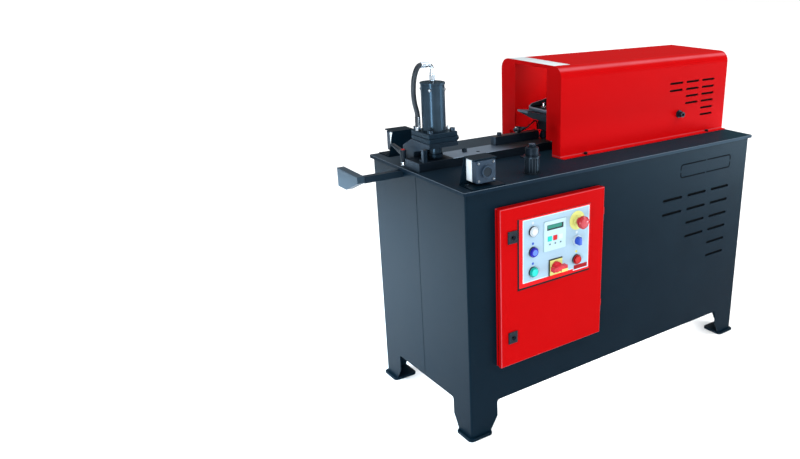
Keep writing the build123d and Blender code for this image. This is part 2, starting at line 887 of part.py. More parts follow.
# Valve block with two solenoid valves
valve_w, valve_d, valve_h = valve_size
spool_w, spool_d, spool_h = spool_size
with BuildPart() as valve_block:
    valve_top = lid_top + valve_h
    spool_y = valve_y + (valve_d - spool_d) / 2
    block(valve_x, valve_x + valve_w, valve_y, valve_y + valve_d, lid_top, valve_top)
    chamfer(valve_block.edges().filter_by(Axis.Z), door_r)
    for step in valve_steps:
        spool_x = valve_x + step
        block(
            spool_x - spool_w / 2, spool_x + spool_w / 2, spool_y, spool_y + spool_d,
            valve_top, valve_top + spool_h,
        )
        rod_y(spool_x, valve_top + spool_h / 2, spool_y - solenoid_len, spool_y, solenoid_d)


def involute(angle):
    """Involute function."""
    return math.tan(angle) - angle


def pinion_outline():
    """Involute pinion with thinned teeth; one tooth points to the back."""
    base_r = pitch_r * math.cos(pressure_angle)
    root_r = pitch_r - 1.25 * gear_module
    tip_r = pitch_r + gear_module
    half_tooth = math.pi / (2 * gear_teeth) - backlash / pitch_r
    flank = [(root_r, half_tooth + involute(pressure_angle))]
    steps = 4
    for step in range(steps + 1):
        radius = base_r + (tip_r - base_r) * step / steps
        spread = involute(pressure_angle) - involute(math.acos(base_r / radius))
        flank.append((radius, half_tooth + spread))
    tooth = [(r, -a) for r, a in flank] + list(reversed(flank))
    points = []
    for index in range(gear_teeth):
        turn = 2 * math.pi * index / gear_teeth
        points += [(axis[0] + r * math.cos(turn + a), axis[1] + r * math.sin(turn + a)) for r, a in tooth]
    return points


# Rotary actuator under the table: the oil pushes a round rack, which turns the pinion shaft
rack_x0 = axis_x - rack_travel - rack_lead
rack_x1 = axis_x + rack_tail
bore_x0 = rack_x0 - end_gap
bore_x1 = rack_x1 + rack_travel + end_gap
housing_x0 = axis_x - housing_half
housing_x1 = axis_x + housing_half
chamber_d = 2 * (pitch_r + gear_module + end_gap)
bush_z0 = gear_z1 + bush_d / 6
with BuildPart() as actuator_housing:
    block(housing_x0, housing_x1, axis_y - housing_half, stop_y + stop_size, housing_z0, under)
    fillet(actuator_housing.edges().filter_by(Axis.Z), housing_r)
    rod_x(rack_y, rack_z, bore_x0, bore_x1, rack_d + 2 * bore_wall)
    rod_x(rack_y, rack_z, bore_x0, bore_x1, rack_d + 2 * rack_gap, Mode.SUBTRACT)
    rod_z(axis_x, axis_y, housing_z0, gear_z1 + edge, chamber_d, Mode.SUBTRACT)
    rod_z(axis_x, axis_y, gear_z1, bush_z0, journal_d + end_gap, Mode.SUBTRACT)
    rod_z(axis_x, axis_y, bush_z0, under, bush_d, Mode.SUBTRACT)
    block(
        housing_x0, housing_x1, stop_y - stop_hole, stop_y + stop_hole,
        stop_z - stop_hole, stop_z + stop_hole, Mode.SUBTRACT,
    )

cover_z0 = housing_z0 - cover_t
with BuildPart() as actuator_caps:
    for x in (bore_x0 - end_cap_t, bore_x1):
        rod_x(rack_y, rack_z, x, x + end_cap_t, end_cap_d)
    rod_z(axis_x, axis_y, cover_z0, housing_z0, chamber_d + 2 * cover_rim)
    rod_z(axis_x, axis_y, cover_z0, housing_z0, bush_d, Mode.SUBTRACT)

# Plain bushes that carry the spindle in the housing and in the cover
with BuildPart() as spindle_bushes:
    for z0, z1 in ((cover_z0, housing_z0), (bush_z0, under)):
        rod_z(axis_x, axis_y, z0, z1, bush_d)
        rod_z(axis_x, axis_y, z0, z1, journal_d + 2 * fit, Mode.SUBTRACT)

# Round rack: straight-sided gaps cut into one flank, with a plain head at each end
tip_half = rack_pitch / 4 + rack_tip * math.tan(pressure_angle)
root_half = rack_pitch / 4 - rack_root * math.tan(pressure_angle)
tip_y = pitch_y - rack_tip
root_y = pitch_y + rack_root
relief_y = rack_y - rack_d / 2 - rack_root
gap_count = int((rack_travel + pitch_r) / rack_pitch)
with BuildPart() as rack_piston:
    rod_x(rack_y, rack_z, rack_x0, rack_x1, rack_d)
    chamfer(rack_piston.faces().filter_by(Axis.X).edges(), 2 * edge)
    with BuildSketch(Plane.XY.offset(rack_z)):
        with BuildLine():
            cut = [(rack_x0 + rack_head, relief_y), (rack_x0 + rack_head, tip_y)]
            for gap in range(-gap_count, 2):
                gap_x = axis_x + gap * rack_pitch
                cut += [(gap_x - tip_half, tip_y), (gap_x - root_half, root_y)]
                cut += [(gap_x + root_half, root_y), (gap_x + tip_half, tip_y)]
            cut += [(rack_x1 - rack_head, tip_y), (rack_x1 - rack_head, relief_y)]
            Polyline(*[at(x, y) for x, y in cut], close=True)
        make_face()
    extrude(amount=rack_d, both=True, mode=Mode.SUBTRACT)

# Spindle with its pinion cut in one piece; the neck passes through the mandrel
with BuildPart() as spindle:
    rod_z(axis_x, axis_y, cover_z0, gear_z0, journal_d)
    with BuildSketch(Plane.XY.offset(gear_z0)):
        with BuildLine():
            Polyline(*pinion_outline(), close=True)
        make_face()
    extrude(amount=gear_z1 - gear_z0)
    rod_z(axis_x, axis_y, gear_z1, table_top - edge, journal_d)
    rod_z(axis_x, axis_y, table_top - edge, arm_z1, neck_d)

# Fixed mandrel, sunk into the bed with its round foot
mandrel_foot = bed_top - mandrel_sink
mandrel_top = bed_top + mandrel_h
with BuildPart() as mandrel:
    rod_z(axis_x, axis_y, mandrel_foot, bed_top, mandrel_foot_d)
    rod_z(axis_x, axis_y, bed_top, mandrel_top, 2 * mandrel_r)
    chamfer(mandrel.edges().sort_by(Axis.Z)[-1], 2 * edge)
    rod_z(axis_x, axis_y, mandrel_foot, mandrel_top, neck_d + 2 * fit, Mode.SUBTRACT)

# Wiper arm: a thick plate with a pointed nose that thins towards its tip, a knuckle and the roller pin
arm_outline = [
    (nose_x, nose_y), (482, 332), (515, 343), (562, 343), (592, 312),
    (592, 258), (562, 226), (520, 222), (463, 214),
]
with BuildPart() as forming_arm:
    with BuildSketch(Plane.XY.offset(arm_z0)):
        with BuildLine():
            Polyline(*[at(x, y) for x, y in arm_outline], close=True)
        make_face()
    extrude(amount=arm_z1 - arm_z0)
    with BuildSketch(Plane.YZ.offset(nose_x - screw_d + left)):
        with BuildLine():
            thin = [(wedge_y0, arm_z0), (wedge_y1, arm_z0), (wedge_y1, arm_z1 - nose_t)]
            Polyline(*[(y + front, z) for y, z in thin], close=True)
        make_face()
    extrude(amount=nose_len, mode=Mode.SUBTRACT)
    with BuildSketch(Plane.XY.offset(knuckle_z0)):
        with Locations(axis):
            Circle(hub_d / 2)
        with Locations(at(roller_x, roller_y)):
            Circle(knuckle_d / 2)
        make_hull()
    extrude(amount=arm_z0 - knuckle_z0)
    rod_z(axis_x, axis_y, knuckle_z0, arm_z1, neck_d, Mode.SUBTRACT)
    rod_z(roller_x, roller_y, roller_z0, knuckle_z0, roller_pin_d)

# Roller that wipes the bar round the mandrel
with BuildPart() as forming_roller:
    rod_z(roller_x, roller_y, roller_z0, roller_z1, roller_d)
    chamfer(forming_roller.edges(), 1.5 * edge)
    rod_z(roller_x, roller_y, roller_z0, roller_z1, roller_pin_d + 2 * fit, Mode.SUBTRACT)

# Tool tray on the arm: a round-cornered box whose rim slopes down to the left, held by two studs
tray_floor = arm_z1 + tray_wall
with BuildPart() as die_tray:
    block(tray_x0, tray_x1, tray_y0, tray_y1, arm_z1, tray_z1)
    fillet(die_tray.edges().filter_by(Axis.Z), tray_r)
    inner = offset(die_tray.faces().sort_by(Axis.Z)[-1], -tray_wall, mode=Mode.PRIVATE)
    extrude(inner, amount=-(tray_z1 - tray_floor), mode=Mode.SUBTRACT)
    with BuildSketch(Plane.XZ.offset(-(tray_y0 + front))):
        with BuildLine():
            lip = [(tray_x0, tray_lip), tray_knee, (tray_x1, tray_z1), (tray_x0, tray_z1)]
            Polyline(*[(x + left, z) for x, z in lip], close=True)
        make_face()
    extrude(amount=-(tray_y1 - tray_y0), mode=Mode.SUBTRACT)
    for x in tray_bolt_x:
        rod_z(x, tray_bolt_y, arm_z1, tray_floor, tray_bolt_d, Mode.SUBTRACT)

with BuildPart() as tray_bolts:
    for x in tray_bolt_x:
        rod_z(x, tray_bolt_y, arm_z1, tray_floor, tray_bolt_d)
        extrude(hexagon(x, tray_bolt_y, tray_floor, tray_bolt_flats), amount=tray_bolt_head)
        rod_z(x, tray_bolt_y, tray_floor + tray_bolt_head, tray_stud_top, tray_stud_d)

# Bed bar with a machined top; the mandrel's foot and the spindle's neck pass into it
with BuildPart() as bed_bar:
    block(bed_x0, bed_x1, bed_y0, bed_y1, table_top, bed_top)
    chamfer(bed_bar.faces().sort_by(Axis.Z)[-1].edges(), edge)
    rod_z(*pin_hole, table_top, bed_top, pin_hole_d, Mode.SUBTRACT)
    for x, y in bed_screws + rear_screws:
        rod_z(x, y, table_top, bed_top, screw_d, Mode.SUBTRACT)
    rod_z(axis_x, axis_y, table_top, bed_top, neck_d + 2 * edge, Mode.SUBTRACT)
    rod_z(axis_x, axis_y, mandrel_foot, bed_top, mandrel_foot_d + 2 * fit, Mode.SUBTRACT)

# Guides on the bed: the rear bar, and an angle that keeps the work from the front edge
with BuildPart() as bed_guides:
    block(rear_x0, rear_x1, rear_y0, bed_y1, bed_top, rear_top)
    chamfer(bed_guides.edges().filter_by(Axis.Z).group_by(Axis.X)[0], rear_lead)
    for x, y in rear_screws:
        rod_z(x, y, bed_top, rear_top, screw_d, Mode.SUBTRACT)
    block(finger_x0, finger_x1, finger_y0, finger_y0 + finger_foot, bed_top, bed_top + finger_foot_t)
    block(finger_x0, finger_x1, finger_y0, finger_y0 + finger_t, bed_top, finger_top)
    fillet(bed_guides.edges().filter_by(Axis.X).group_by(Axis.Z)[-1], door_r)


def route_radii(route):
    """Largest tangent arcs that fit the runs of a route."""
    radii = []
    for before, corner, after in zip(route, route[1:], route[2:]):
        run_in = Vector(*corner) - Vector(*before)
        run_out = Vector(*after) - Vector(*corner)
        turn = math.radians(run_in.get_angle(run_out))
        radii.append(0.45 * min(run_in.length, run_out.length) / math.tan(turn / 2))
    return radii


def route_path(name, route):
    """Straight runs joined by tangent arcs; prints the arcs and the length."""
    radii = route_radii(route)
    with BuildLine() as path:
        FilletPolyline(*[(x + left, y + front, z) for x, y, z in route], radius=radii)
    print(name, "radii", [round(radius, 1) for radius in radii], "length", round(path.wire().length, 1))
    return path.wire()


def tube_ratio(solid, path, dia):
    """Volume of a tube over its section times its length."""
    return round(solid.volume / (path.length * math.pi * dia**2 / 4), 4)


# Sensor: a threaded barrel held in an angle by two nuts, its lead, and the grommet in the table
lead_path = route_path("lead", lead_route)
grommet_x, grommet_y, lead_end_z = lead_route[-1]
with BuildPart() as position_sensor:
    holder_x0 = sensor_nut_x[0] + sensor_nut_t
    holder_x1 = sensor_nut_x[1]
    block(
        holder_x0, holder_x1, sensor_y - holder_w / 2, sensor_y + holder_w / 2,
        rear_top, rear_top + bracket_t,
    )
    block(
        holder_x1 - bracket_t, holder_x1, sensor_y - holder_w / 2, sensor_y + holder_w / 2,
        rear_top, rear_top + holder_h,
    )
    rod_x(sensor_y, sensor_z, sensor_x0, sensor_x1, sensor_d)
    for x in sensor_nut_x:
        with BuildSketch(Plane.YZ.offset(x + left)):
            with Locations((sensor_y + front, sensor_z)):
                RegularPolygon(sensor_nut / 2, 6, major_radius=False, rotation=30)
        extrude(amount=sensor_nut_t)
    rod_z(grommet_x, grommet_y, table_top, table_top + grommet_h, grommet_d)
    with BuildSketch(Plane(lead_path @ 0, z_dir=lead_path % 0)) as lead_section:
        Circle(lead_d / 2)
    lead_tube = sweep(lead_section.sketch, path=lead_path)

# Clamp frame: a C-shaped block whose head reaches over the bed
frame_x0 = clamp_x - clamp_w / 2
frame_x1 = clamp_x + clamp_w / 2
head_y0 = clamp_y - clamp_d / 2
head_screws = [
    (clamp_x + across * head_screw_x, clamp_y + along * head_screw_y)
    for across in (-1, 1) for along in (-1, 1)
]
with BuildPart() as clamp_frame:
    with BuildSketch(Plane.YZ.offset(frame_x0 + left)):
        with BuildLine():
            outline = [
                (bed_y1, table_top), (column_back, table_top), (column_back, column_top),
                (head_back, plate_z0), (head_y0, plate_z0), (head_y0, throat_front), (bed_y1, throat_back),
            ]
            Polyline(*[(y + front, z) for y, z in outline], close=True)
        make_face()
    extrude(amount=clamp_w)
    head_top = clamp_frame.faces().filter_by(Axis.Z).sort_by(Axis.Z)[-1]
    chamfer(head_top.edges().filter_by(Axis.Y), 2 * plate_edge)
    foot_room = ram_z0 + ram_rise + press
    rod_z(clamp_x, clamp_y, bed_top, foot_room, foot_d + press, Mode.SUBTRACT)
    rod_z(clamp_x, clamp_y, ram_z0, plate_z0, ram_d + 2 * fit, Mode.SUBTRACT)
    for x, y in head_screws:
        rod_z(x, y, plate_z0 - clamp_screw_in, plate_z0, screw_d, Mode.SUBTRACT)

# Two plates under the cylinder, bevelled all round
with BuildPart() as clamp_plates:
    for z in (plate_z0, lower_plate):
        block(frame_x0, frame_x1, head_y0, head_y0 + clamp_d, z, z + plate_t - plate_gap)
    chamfer(clamp_plates.edges(), plate_edge)
    for z, bore in ((plate_z0, ram_d + 2 * fit), (lower_plate, clamp_bore)):
        rod_z(clamp_x, clamp_y, z, z + plate_t - plate_gap, bore, Mode.SUBTRACT)
    for x, y in head_screws:
        rod_z(x, y, plate_z0, flange_top, screw_d, Mode.SUBTRACT)

# Socket-head screws of the bed, the rear guide and the clamp head
with BuildPart() as cap_screws:
    places = [(x, y, bed_top, bed_top - table_top - screw_key) for x, y in bed_screws]
    places += [(x, y, rear_top, rear_top - table_top - screw_key) for x, y in rear_screws]
    places += [(x, y, flange_top, flange_top - plate_z0 + clamp_screw_in) for x, y in head_screws]
    for x, y, z, shank in places:
        rod_z(x, y, z - shank, z, screw_d)
        rod_z(x, y, z, z + screw_d, screw_head)
        extrude(hexagon(x, y, z + screw_d, screw_key), amount=-screw_key_deep, mode=Mode.SUBTRACT)

# Clamp cylinder with its end plate, the ram with its piston, and the press foot
with BuildPart() as clamp_cylinder:
    plate_under = clamp_top - end_plate_t
    rod_z(clamp_x, clamp_y, flange_top, plate_under - groove, clamp_od)
    rod_z(clamp_x, clamp_y, plate_under - groove, plate_under, clamp_od - 2 * groove)
    rod_z(clamp_x, clamp_y, plate_under, clamp_top, end_plate_d)
    chamfer(clamp_cylinder.edges().sort_by(Axis.Z)[-1], edge)
    rod_z(clamp_x, clamp_y, flange_top, clamp_top - end_wall, clamp_bore, Mode.SUBTRACT)
    rod_z(clamp_x, clamp_y, clamp_top - end_wall, clamp_top, port_bore, Mode.SUBTRACT)

with BuildPart() as clamp_ram:
    piston_z0 = flange_top + piston_gap
    rod_z(clamp_x, clamp_y, ram_z0, piston_z0, ram_d)
    rod_z(clamp_x, clamp_y, piston_z0, piston_z0 + piston_t, clamp_bore - 2 * fit)

with BuildPart() as press_foot:
    rod_z(clamp_x, clamp_y, bed_top + edge, ram_z0, foot_d)
    chamfer(press_foot.edges(), 1.5 * edge)

# Hose fittings: an elbow on the cylinder and a straight union on the plate
elbow_hex_z = clamp_top + elbow_neck
elbow_nut_z = elbow_hex_z + elbow_hex_h
elbow_z0 = elbow_nut_z + elbow_nut_h
with BuildPart() as hose_fittings:
    rod_z(clamp_x, clamp_y, clamp_top, elbow_hex_z, elbow_d)
    extrude(hexagon(clamp_x, clamp_y, elbow_hex_z, elbow_hex), amount=elbow_hex_h)
    rod_z(clamp_x, clamp_y, elbow_nut_z, elbow_z0, elbow_nut_d)
    with BuildLine() as elbow:
        FilletPolyline(
            (*at(clamp_x, clamp_y), elbow_z0), (*at(clamp_x, clamp_y), elbow_z),
            (*at(ferrule_x1 - edge, clamp_y), elbow_z), radius=elbow_r,
        )
    with BuildSketch(Plane.XY.offset(elbow_z0)):
        with Locations(at(clamp_x, clamp_y)):
            Circle(elbow_d / 2)
    sweep(path=elbow.wire())
    rod_x(clamp_y, elbow_z, ferrule_x0, ferrule_x1, ferrule_d)
    extrude(hexagon(union_x, union_y, flange_top, union_hex), amount=union_hex_h)
    rod_z(union_x, union_y, flange_top + union_hex_h - edge, union_top, ferrule_d)

# Pressure hose from the union up to the elbow, held at both ends
hose_path = route_path("hose", hose_route)
with BuildPart() as clamp_hose:
    with BuildSketch(Plane(hose_path @ 0, z_dir=hose_path % 0)):
        Circle(hose_d / 2)
    sweep(path=hose_path)
print("hose volume ratio", tube_ratio(clamp_hose.part, hose_path, hose_d))
print("lead volume ratio", tube_ratio(lead_tube, lead_path, lead_d))

# Length stop: a square bar through the end panel with a paddle plate
with BuildPart() as stop_bar:
    block(
        stop_end + paddle_t, stop_inner, stop_y - stop_size / 2, stop_y + stop_size / 2,
        stop_z - stop_size / 2, stop_z + stop_size / 2,
    )

with BuildPart() as stop_paddle:
    with BuildSketch(Plane.YZ.offset(stop_end + left)):
        with BuildLine():
            Polyline(*[(y + front, z) for y, z in paddle_outline], close=True)
        make_face()
    extrude(amount=paddle_t)
    chamfer(stop_paddle.edges(), edge)

# Locking lever over the stop bar: stud, tapered hub and a rising arm
lever_dir = (0, math.cos(lever_rise), math.sin(lever_rise))
root = (*at(lever_x, stop_y), hub_top - hub_head_r)
reach = tuple(start + lever_len * step for start, step in zip(root, lever_dir))
with BuildPart() as clamping_lever:
    rod_z(lever_x, stop_y, stop_z + stop_size / 2 + paint_gap, hub_z0, stud_d)
    with Locations((*at(lever_x, stop_y), (hub_z0 + hub_top) / 2)):
        Cone(hub_foot_r, hub_head_r, hub_top - hub_z0)
    with BuildSketch(Plane(root, x_dir=(1, 0, 0), z_dir=lever_dir)):
        RectangleRounded(*lever_root, hand_r)
    with BuildSketch(Plane(reach, x_dir=(1, 0, 0), z_dir=lever_dir)):
        RectangleRounded(*lever_tip, press)
    loft()
    well_d = lever_button_d + 4 * fit
    rod_z(lever_x, stop_y, hub_top - lever_well, hub_top + lever_button_d, well_d, Mode.SUBTRACT)

with BuildPart() as lever_button:
    rod_z(lever_x, stop_y, hub_top - lever_well + door_r, hub_top + 2 * edge, lever_button_d)
    fillet(lever_button.edges().sort_by(Axis.Z)[-1], edge)

# Two-hand control boxes: bent bracket, box, lid with a shroud ring, and the button
hand_x1 = hand_x0 + hand_w
hand_z1 = hand_z0 + hand_w
hand_back = hand_face + hand_deep
lid_back = hand_face + hand_lid
hand_cx = hand_x0 + hand_w / 2
hand_cz = hand_z0 + hand_w / 2
roof_z0 = hand_z1 + 2 * edge
roof_z1 = roof_z0 + bracket_t
mirror_plane = Plane.XZ.offset(-(mirror_y + front))
with BuildPart() as box_brackets:
    block(*bracket_foot, bracket_front, hand_back + bracket_t, table_top, table_top + bracket_t)
    with BuildSketch(Plane.XZ.offset(-(hand_back + front))):
        with BuildLine():
            wall = [(x, table_top) for x in bracket_foot] + [(x, roof_z1) for x in reversed(bracket_roof)]
            Polyline(*[(x + left, z) for x, z in wall], close=True)
        make_face()
    extrude(amount=-bracket_t)
    block(*bracket_roof, hand_face - roof_out, hand_back + bracket_t, roof_z0, roof_z1)
    mirror(about=mirror_plane)

with BuildPart() as box_bases:
    block(hand_x0, hand_x1, lid_back, hand_back, hand_z0, hand_z1)
    fillet(box_bases.edges().filter_by(Axis.Y), hand_r)
    block(
        hand_x0 + hand_wall, hand_x1 - hand_wall, lid_back, hand_back - hand_wall,
        hand_z0 + hand_wall, hand_z1 - hand_wall, Mode.SUBTRACT,
    )
    mirror(about=mirror_plane)

with BuildPart() as box_lids:
    block(hand_x0, hand_x1, hand_face, lid_back, hand_z0, hand_z1)
    fillet(box_lids.edges().filter_by(Axis.Y), hand_r)
    fillet(box_lids.faces().sort_by(Axis.Y)[0].edges(), 2 * edge)
    block(
        hand_x0 + hand_wall, hand_x1 - hand_wall, hand_face + lid_face, lid_back,
        hand_z0 + hand_wall, hand_z1 - hand_wall, Mode.SUBTRACT,
    )
    rod_y(hand_cx, hand_cz, hand_face - shroud_t, hand_face + lid_face, shroud_d)
    rod_y(hand_cx, hand_cz, hand_face - shroud_t, hand_face, shroud_in, Mode.SUBTRACT)
    rod_y(hand_cx, hand_cz, hand_face, hand_face + lid_face, hand_stem_d + 2 * fit, Mode.SUBTRACT)
    mirror(about=mirror_plane)


def hand_button():
    """Sunk button with its stem."""
    cap_end = hand_face - press - paint_gap
    rod_y(hand_cx, hand_cz, hand_face - shroud_t + edge, cap_end, hand_button_d)
    rod_y(hand_cx, hand_cz, cap_end, hand_face + hand_stem, hand_stem_d)


with BuildPart() as front_button:
    hand_button()
    fillet(front_button.faces().sort_by(Axis.Y)[0].edges(), edge)

with BuildPart() as rear_button:
    hand_button()
    fillet(rear_button.faces().sort_by(Axis.Y)[0].edges(), edge)
    mirror(about=mirror_plane, mode=Mode.REPLACE)


def hood_section(inset):
    """Cross-section of the hood, square at the table and rounded at the top."""
    with BuildSketch(Plane.YZ.offset(hood_x0 + left)) as section:
        width = hood_y1 - hood_y0 - 2 * inset
        height = hood_top - inset - table_top
        with Locations(((hood_y0 + hood_y1) / 2 + front, table_top + height / 2)):
            Rectangle(width, height)
        fillet(section.vertices().group_by(Axis.Y)[-1], hood_r - inset)
    return section.sketch


# Hood: slotted side sheets with flanges, a bent roof, a panel with a stepped mouth and a closed end
hood_len = hood_x1 - hood_x0
roof_z = hood_top - hood_r
with BuildPart() as hood:
    extrude(hood_section(0), amount=hood_len)
    block(hood_x0, hood_x1, hood_y0 - hood_flange, hood_y1 + hood_flange, table_top, table_top + sheet)
    with Locations((sheet, 0, 0)):
        cavity = extrude(hood_section(sheet), amount=hood_len - 2 * sheet, mode=Mode.PRIVATE)
        add(cavity, mode=Mode.SUBTRACT)
    block(hood_x0 - edge, hood_x0 + 2 * sheet, mouth_y0, mouth_y1, table_top, mouth_top, Mode.SUBTRACT)
    block(hood_x0 - edge, hood_x0 + 2 * sheet, notch_y0, notch_y1, table_top, notch_top, Mode.SUBTRACT)
    side_vents = slot_rows(
        Plane.XZ, hood_vent_x, hood_vent_top, hood_vent_pitch, hood_vent_len, hood_vent_h,
    )
    extrude(side_vents, amount=cab_dep, both=True, mode=Mode.SUBTRACT)
    rod_y(port_x, port_z, hood_y0 - edge, hood_y0 + 2 * sheet, port_tail_d, Mode.SUBTRACT)
    for x in (hood_x0 + sheet, hood_x1 - sheet - weld_gap):
        block(x, x + weld_gap, 0, cab_dep, under, hood_top + edge, Mode.SUBTRACT)
    block(hood_x0 + sheet, hood_x1 - sheet, 0, cab_dep, roof_z - weld_gap, roof_z, Mode.SUBTRACT)

# Hollow screwed port in the hood's front, and the gland for the mains cable in the rear panel
port_face = hood_y0 - port_out
gland_face = cab_dep + gland_hex_t
with BuildPart() as cable_glands:
    rod_y(port_x, port_z, hood_y0 - port_nut_t, hood_y0, port_nut_d)
    rod_y(port_x, port_z, port_face, hood_y0 - port_nut_t, port_d)
    rod_y(port_x, port_z, hood_y0, hood_y0 + port_tail, port_tail_d)
    rod_y(port_x, port_z, port_face, hood_y0 + port_tail, port_hole, Mode.SUBTRACT)
    with BuildSketch(Plane.XZ.offset(-(cab_dep + front))):
        with Locations((gland_x + left, gland_z)):
            RegularPolygon(gland_flats / 2, 6, major_radius=False)
    extrude(amount=-gland_hex_t)
    rod_y(gland_x, gland_z, gland_face, gland_face + gland_dome, gland_dome_d)
    fillet(cable_glands.faces().sort_by(Axis.Y)[-1].edges(), hand_r)
    rod_y(gland_x, gland_z, cab_dep - port_tail, cab_dep, port_tail_d)
    rod_y(gland_x, gland_z, cab_dep - port_tail, gland_face + gland_dome, gland_hole, Mode.SUBTRACT)

# Fluted post with a tabbed collar and a nut
collar_z = table_top + flute_h
neck_z = collar_z + collar_t
washer_z = neck_z + post_neck
nut_z = washer_z + washer_t
with BuildPart() as fluted_post:
    rod_z(post_x, post_y, table_top, collar_z, post_d)
    with Locations((*at(post_x, post_y), table_top + flute_h / 2)):
        with PolarLocations(post_d / 2, flute_count):
            Cylinder(flute_r, flute_h - 2 * flute_end, mode=Mode.SUBTRACT)
    rod_z(post_x, post_y, collar_z, neck_z, collar_d)
    block(post_x - tab_len, post_x, post_y - tab_w / 2, post_y + tab_w / 2, collar_z, neck_z)
    rod_z(post_x, post_y, neck_z, washer_z, post_neck_d)
    chamfer(fluted_post.edges().sort_by(Axis.Z)[-1], 2 * edge)
    rod_z(post_x, post_y, washer_z, nut_z, washer_d)
    extrude(hexagon(post_x, post_y, nut_z, post_nut), amount=post_nut_h)

pieces = {
    "front_shell": front_shell, "rear_shell": rear_shell, "table_plate": table_plate,
    "foot_plates": foot_plates, "floor_sheet": floor_sheet, "enclosure_box": enclosure_box,
    "switchgear": switchgear, "door": door, "door_hinges": door_hinges, "control_panel": control_panel,
    "display_module": display_module, "signal_lamp": signal_lamp, "button_bezels": button_bezels,
    "blue_button": blue_button, "green_button": green_button, "red_button": red_button,
    "selector_knob": selector_knob, "legend_plates": legend_plates, "estop_button": estop_button,
    "switch_handle": switch_handle, "lock_bodies": lock_bodies, "upper_lock": upper_lock,
    "lower_lock": lower_lock, "oil_tank": oil_tank, "tank_lid": tank_lid, "pump_motor": pump_motor,
    "valve_block": valve_block, "actuator_housing": actuator_housing, "actuator_caps": actuator_caps,
    "spindle_bushes": spindle_bushes, "rack_piston": rack_piston, "spindle": spindle,
    "mandrel": mandrel, "forming_arm": forming_arm, "forming_roller": forming_roller,
    "die_tray": die_tray, "tray_bolts": tray_bolts, "bed_bar": bed_bar, "bed_guides": bed_guides,
    "position_sensor": position_sensor, "clamp_frame": clamp_frame, "clamp_plates": clamp_plates,
    "cap_screws": cap_screws, "clamp_cylinder": clamp_cylinder, "clamp_ram": clamp_ram,
    "press_foot": press_foot, "hose_fittings": hose_fittings, "clamp_hose": clamp_hose,
    "stop_bar": stop_bar, "stop_paddle": stop_paddle, "clamping_lever": clamping_lever,
    "lever_button": lever_button, "box_brackets": box_brackets, "box_bases": box_bases,
    "box_lids": box_lids, "front_button": front_button, "rear_button": rear_button, "hood": hood,
    "cable_glands": cable_glands, "fluted_post": fluted_post,
}
for name, piece in pieces.items():
    piece.part.label = name
    export_step(piece.part, f"parts/{name}.step")
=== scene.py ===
import itertools
import math

import bmesh
import bpy
from mathutils import Matrix, Vector


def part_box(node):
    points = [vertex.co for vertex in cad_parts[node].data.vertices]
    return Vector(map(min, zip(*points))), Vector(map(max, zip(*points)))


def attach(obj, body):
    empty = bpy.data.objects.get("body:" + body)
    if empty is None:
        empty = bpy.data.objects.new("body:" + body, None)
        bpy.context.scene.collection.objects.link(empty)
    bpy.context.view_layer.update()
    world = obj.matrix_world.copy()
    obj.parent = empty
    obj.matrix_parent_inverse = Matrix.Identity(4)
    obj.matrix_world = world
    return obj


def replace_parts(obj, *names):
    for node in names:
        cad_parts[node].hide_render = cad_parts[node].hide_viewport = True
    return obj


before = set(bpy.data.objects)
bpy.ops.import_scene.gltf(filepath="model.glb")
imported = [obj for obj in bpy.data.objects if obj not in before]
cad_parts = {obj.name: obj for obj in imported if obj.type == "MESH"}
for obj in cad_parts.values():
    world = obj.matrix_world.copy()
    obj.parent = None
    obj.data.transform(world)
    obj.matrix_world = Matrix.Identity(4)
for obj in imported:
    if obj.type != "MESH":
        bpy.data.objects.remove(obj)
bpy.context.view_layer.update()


# Cabinet sheets and feet: folded and laser-cut steel, powder coated in dark slate with a fine
# sandy texture. Two U-shaped wraps meet in a seam on each end, and the foot plates are welded on.
class Shade:
    """A shader socket that takes part in Python sums: each operator adds one Math node."""

    def __init__(self, socket):
        self.socket = socket

    def node(self, kind, settings, inputs, output=0):
        """Adds a node of that type, sets it up, feeds its sockets and gives one output."""
        tree = self.socket.id_data
        new = tree.nodes.new(kind)
        for name, value in settings.items():
            setattr(new, name, value)
        for name, value in inputs.items():
            if isinstance(value, Shade):
                tree.links.new(value.socket, new.inputs[name])
            else:
                new.inputs[name].default_value = value
        return Shade(new.outputs[output])

    def math(self, operation, first, second):
        return self.node("ShaderNodeMath", {"operation": operation}, {0: first, 1: second})

    def __add__(self, other):
        return self.math("ADD", self, other)

    def __radd__(self, other):
        return self.math("ADD", other, self)

    def __sub__(self, other):
        return self.math("SUBTRACT", self, other)

    def __rsub__(self, other):
        return self.math("SUBTRACT", other, self)

    def __mul__(self, other):
        return self.math("MULTIPLY", self, other)

    def __rmul__(self, other):
        return self.math("MULTIPLY", other, self)

    def __abs__(self):
        return self.math("ABSOLUTE", self, 0.0)

    def __gt__(self, other):
        return self.math("GREATER_THAN", self, other)

    def __lt__(self, other):
        return self.math("LESS_THAN", self, other)


def start_finish(name):
    """A new material: its shader, and the place on the object in metres."""
    material = bpy.data.materials.new(name)
    material.use_nodes = True
    tree = material.node_tree
    shader = tree.nodes["Principled BSDF"]
    place = Shade(tree.nodes.new("ShaderNodeTexCoord").outputs["Object"])
    return material, shader, place


def feed(shader, **sockets):
    """Links values to the shader's sockets, or sets them; base_color stands for Base Color."""
    for name, value in sockets.items():
        words = name.replace("_", " ").title().replace("Ior", "IOR")
        socket = shader.inputs[words]
        if isinstance(value, Shade):
            shader.id_data.links.new(value.socket, socket)
        else:
            socket.default_value = value


def speckle(place, size, detail=2.0):
    """Noise whose grains are about that many metres across."""
    return place.node("ShaderNodeTexNoise", {}, {"Vector": place, "Scale": 1 / size, "Detail": detail})


def blend(mask, below, above):
    """Colour that goes from below to above with the mask; each is a flat colour or a shade."""
    first, second = [side if isinstance(side, Shade) else (*side, 1) for side in (below, above)]
    return mask.node("ShaderNodeMix", {"data_type": "RGBA"}, {0: mask, 6: first, 7: second}, 2)


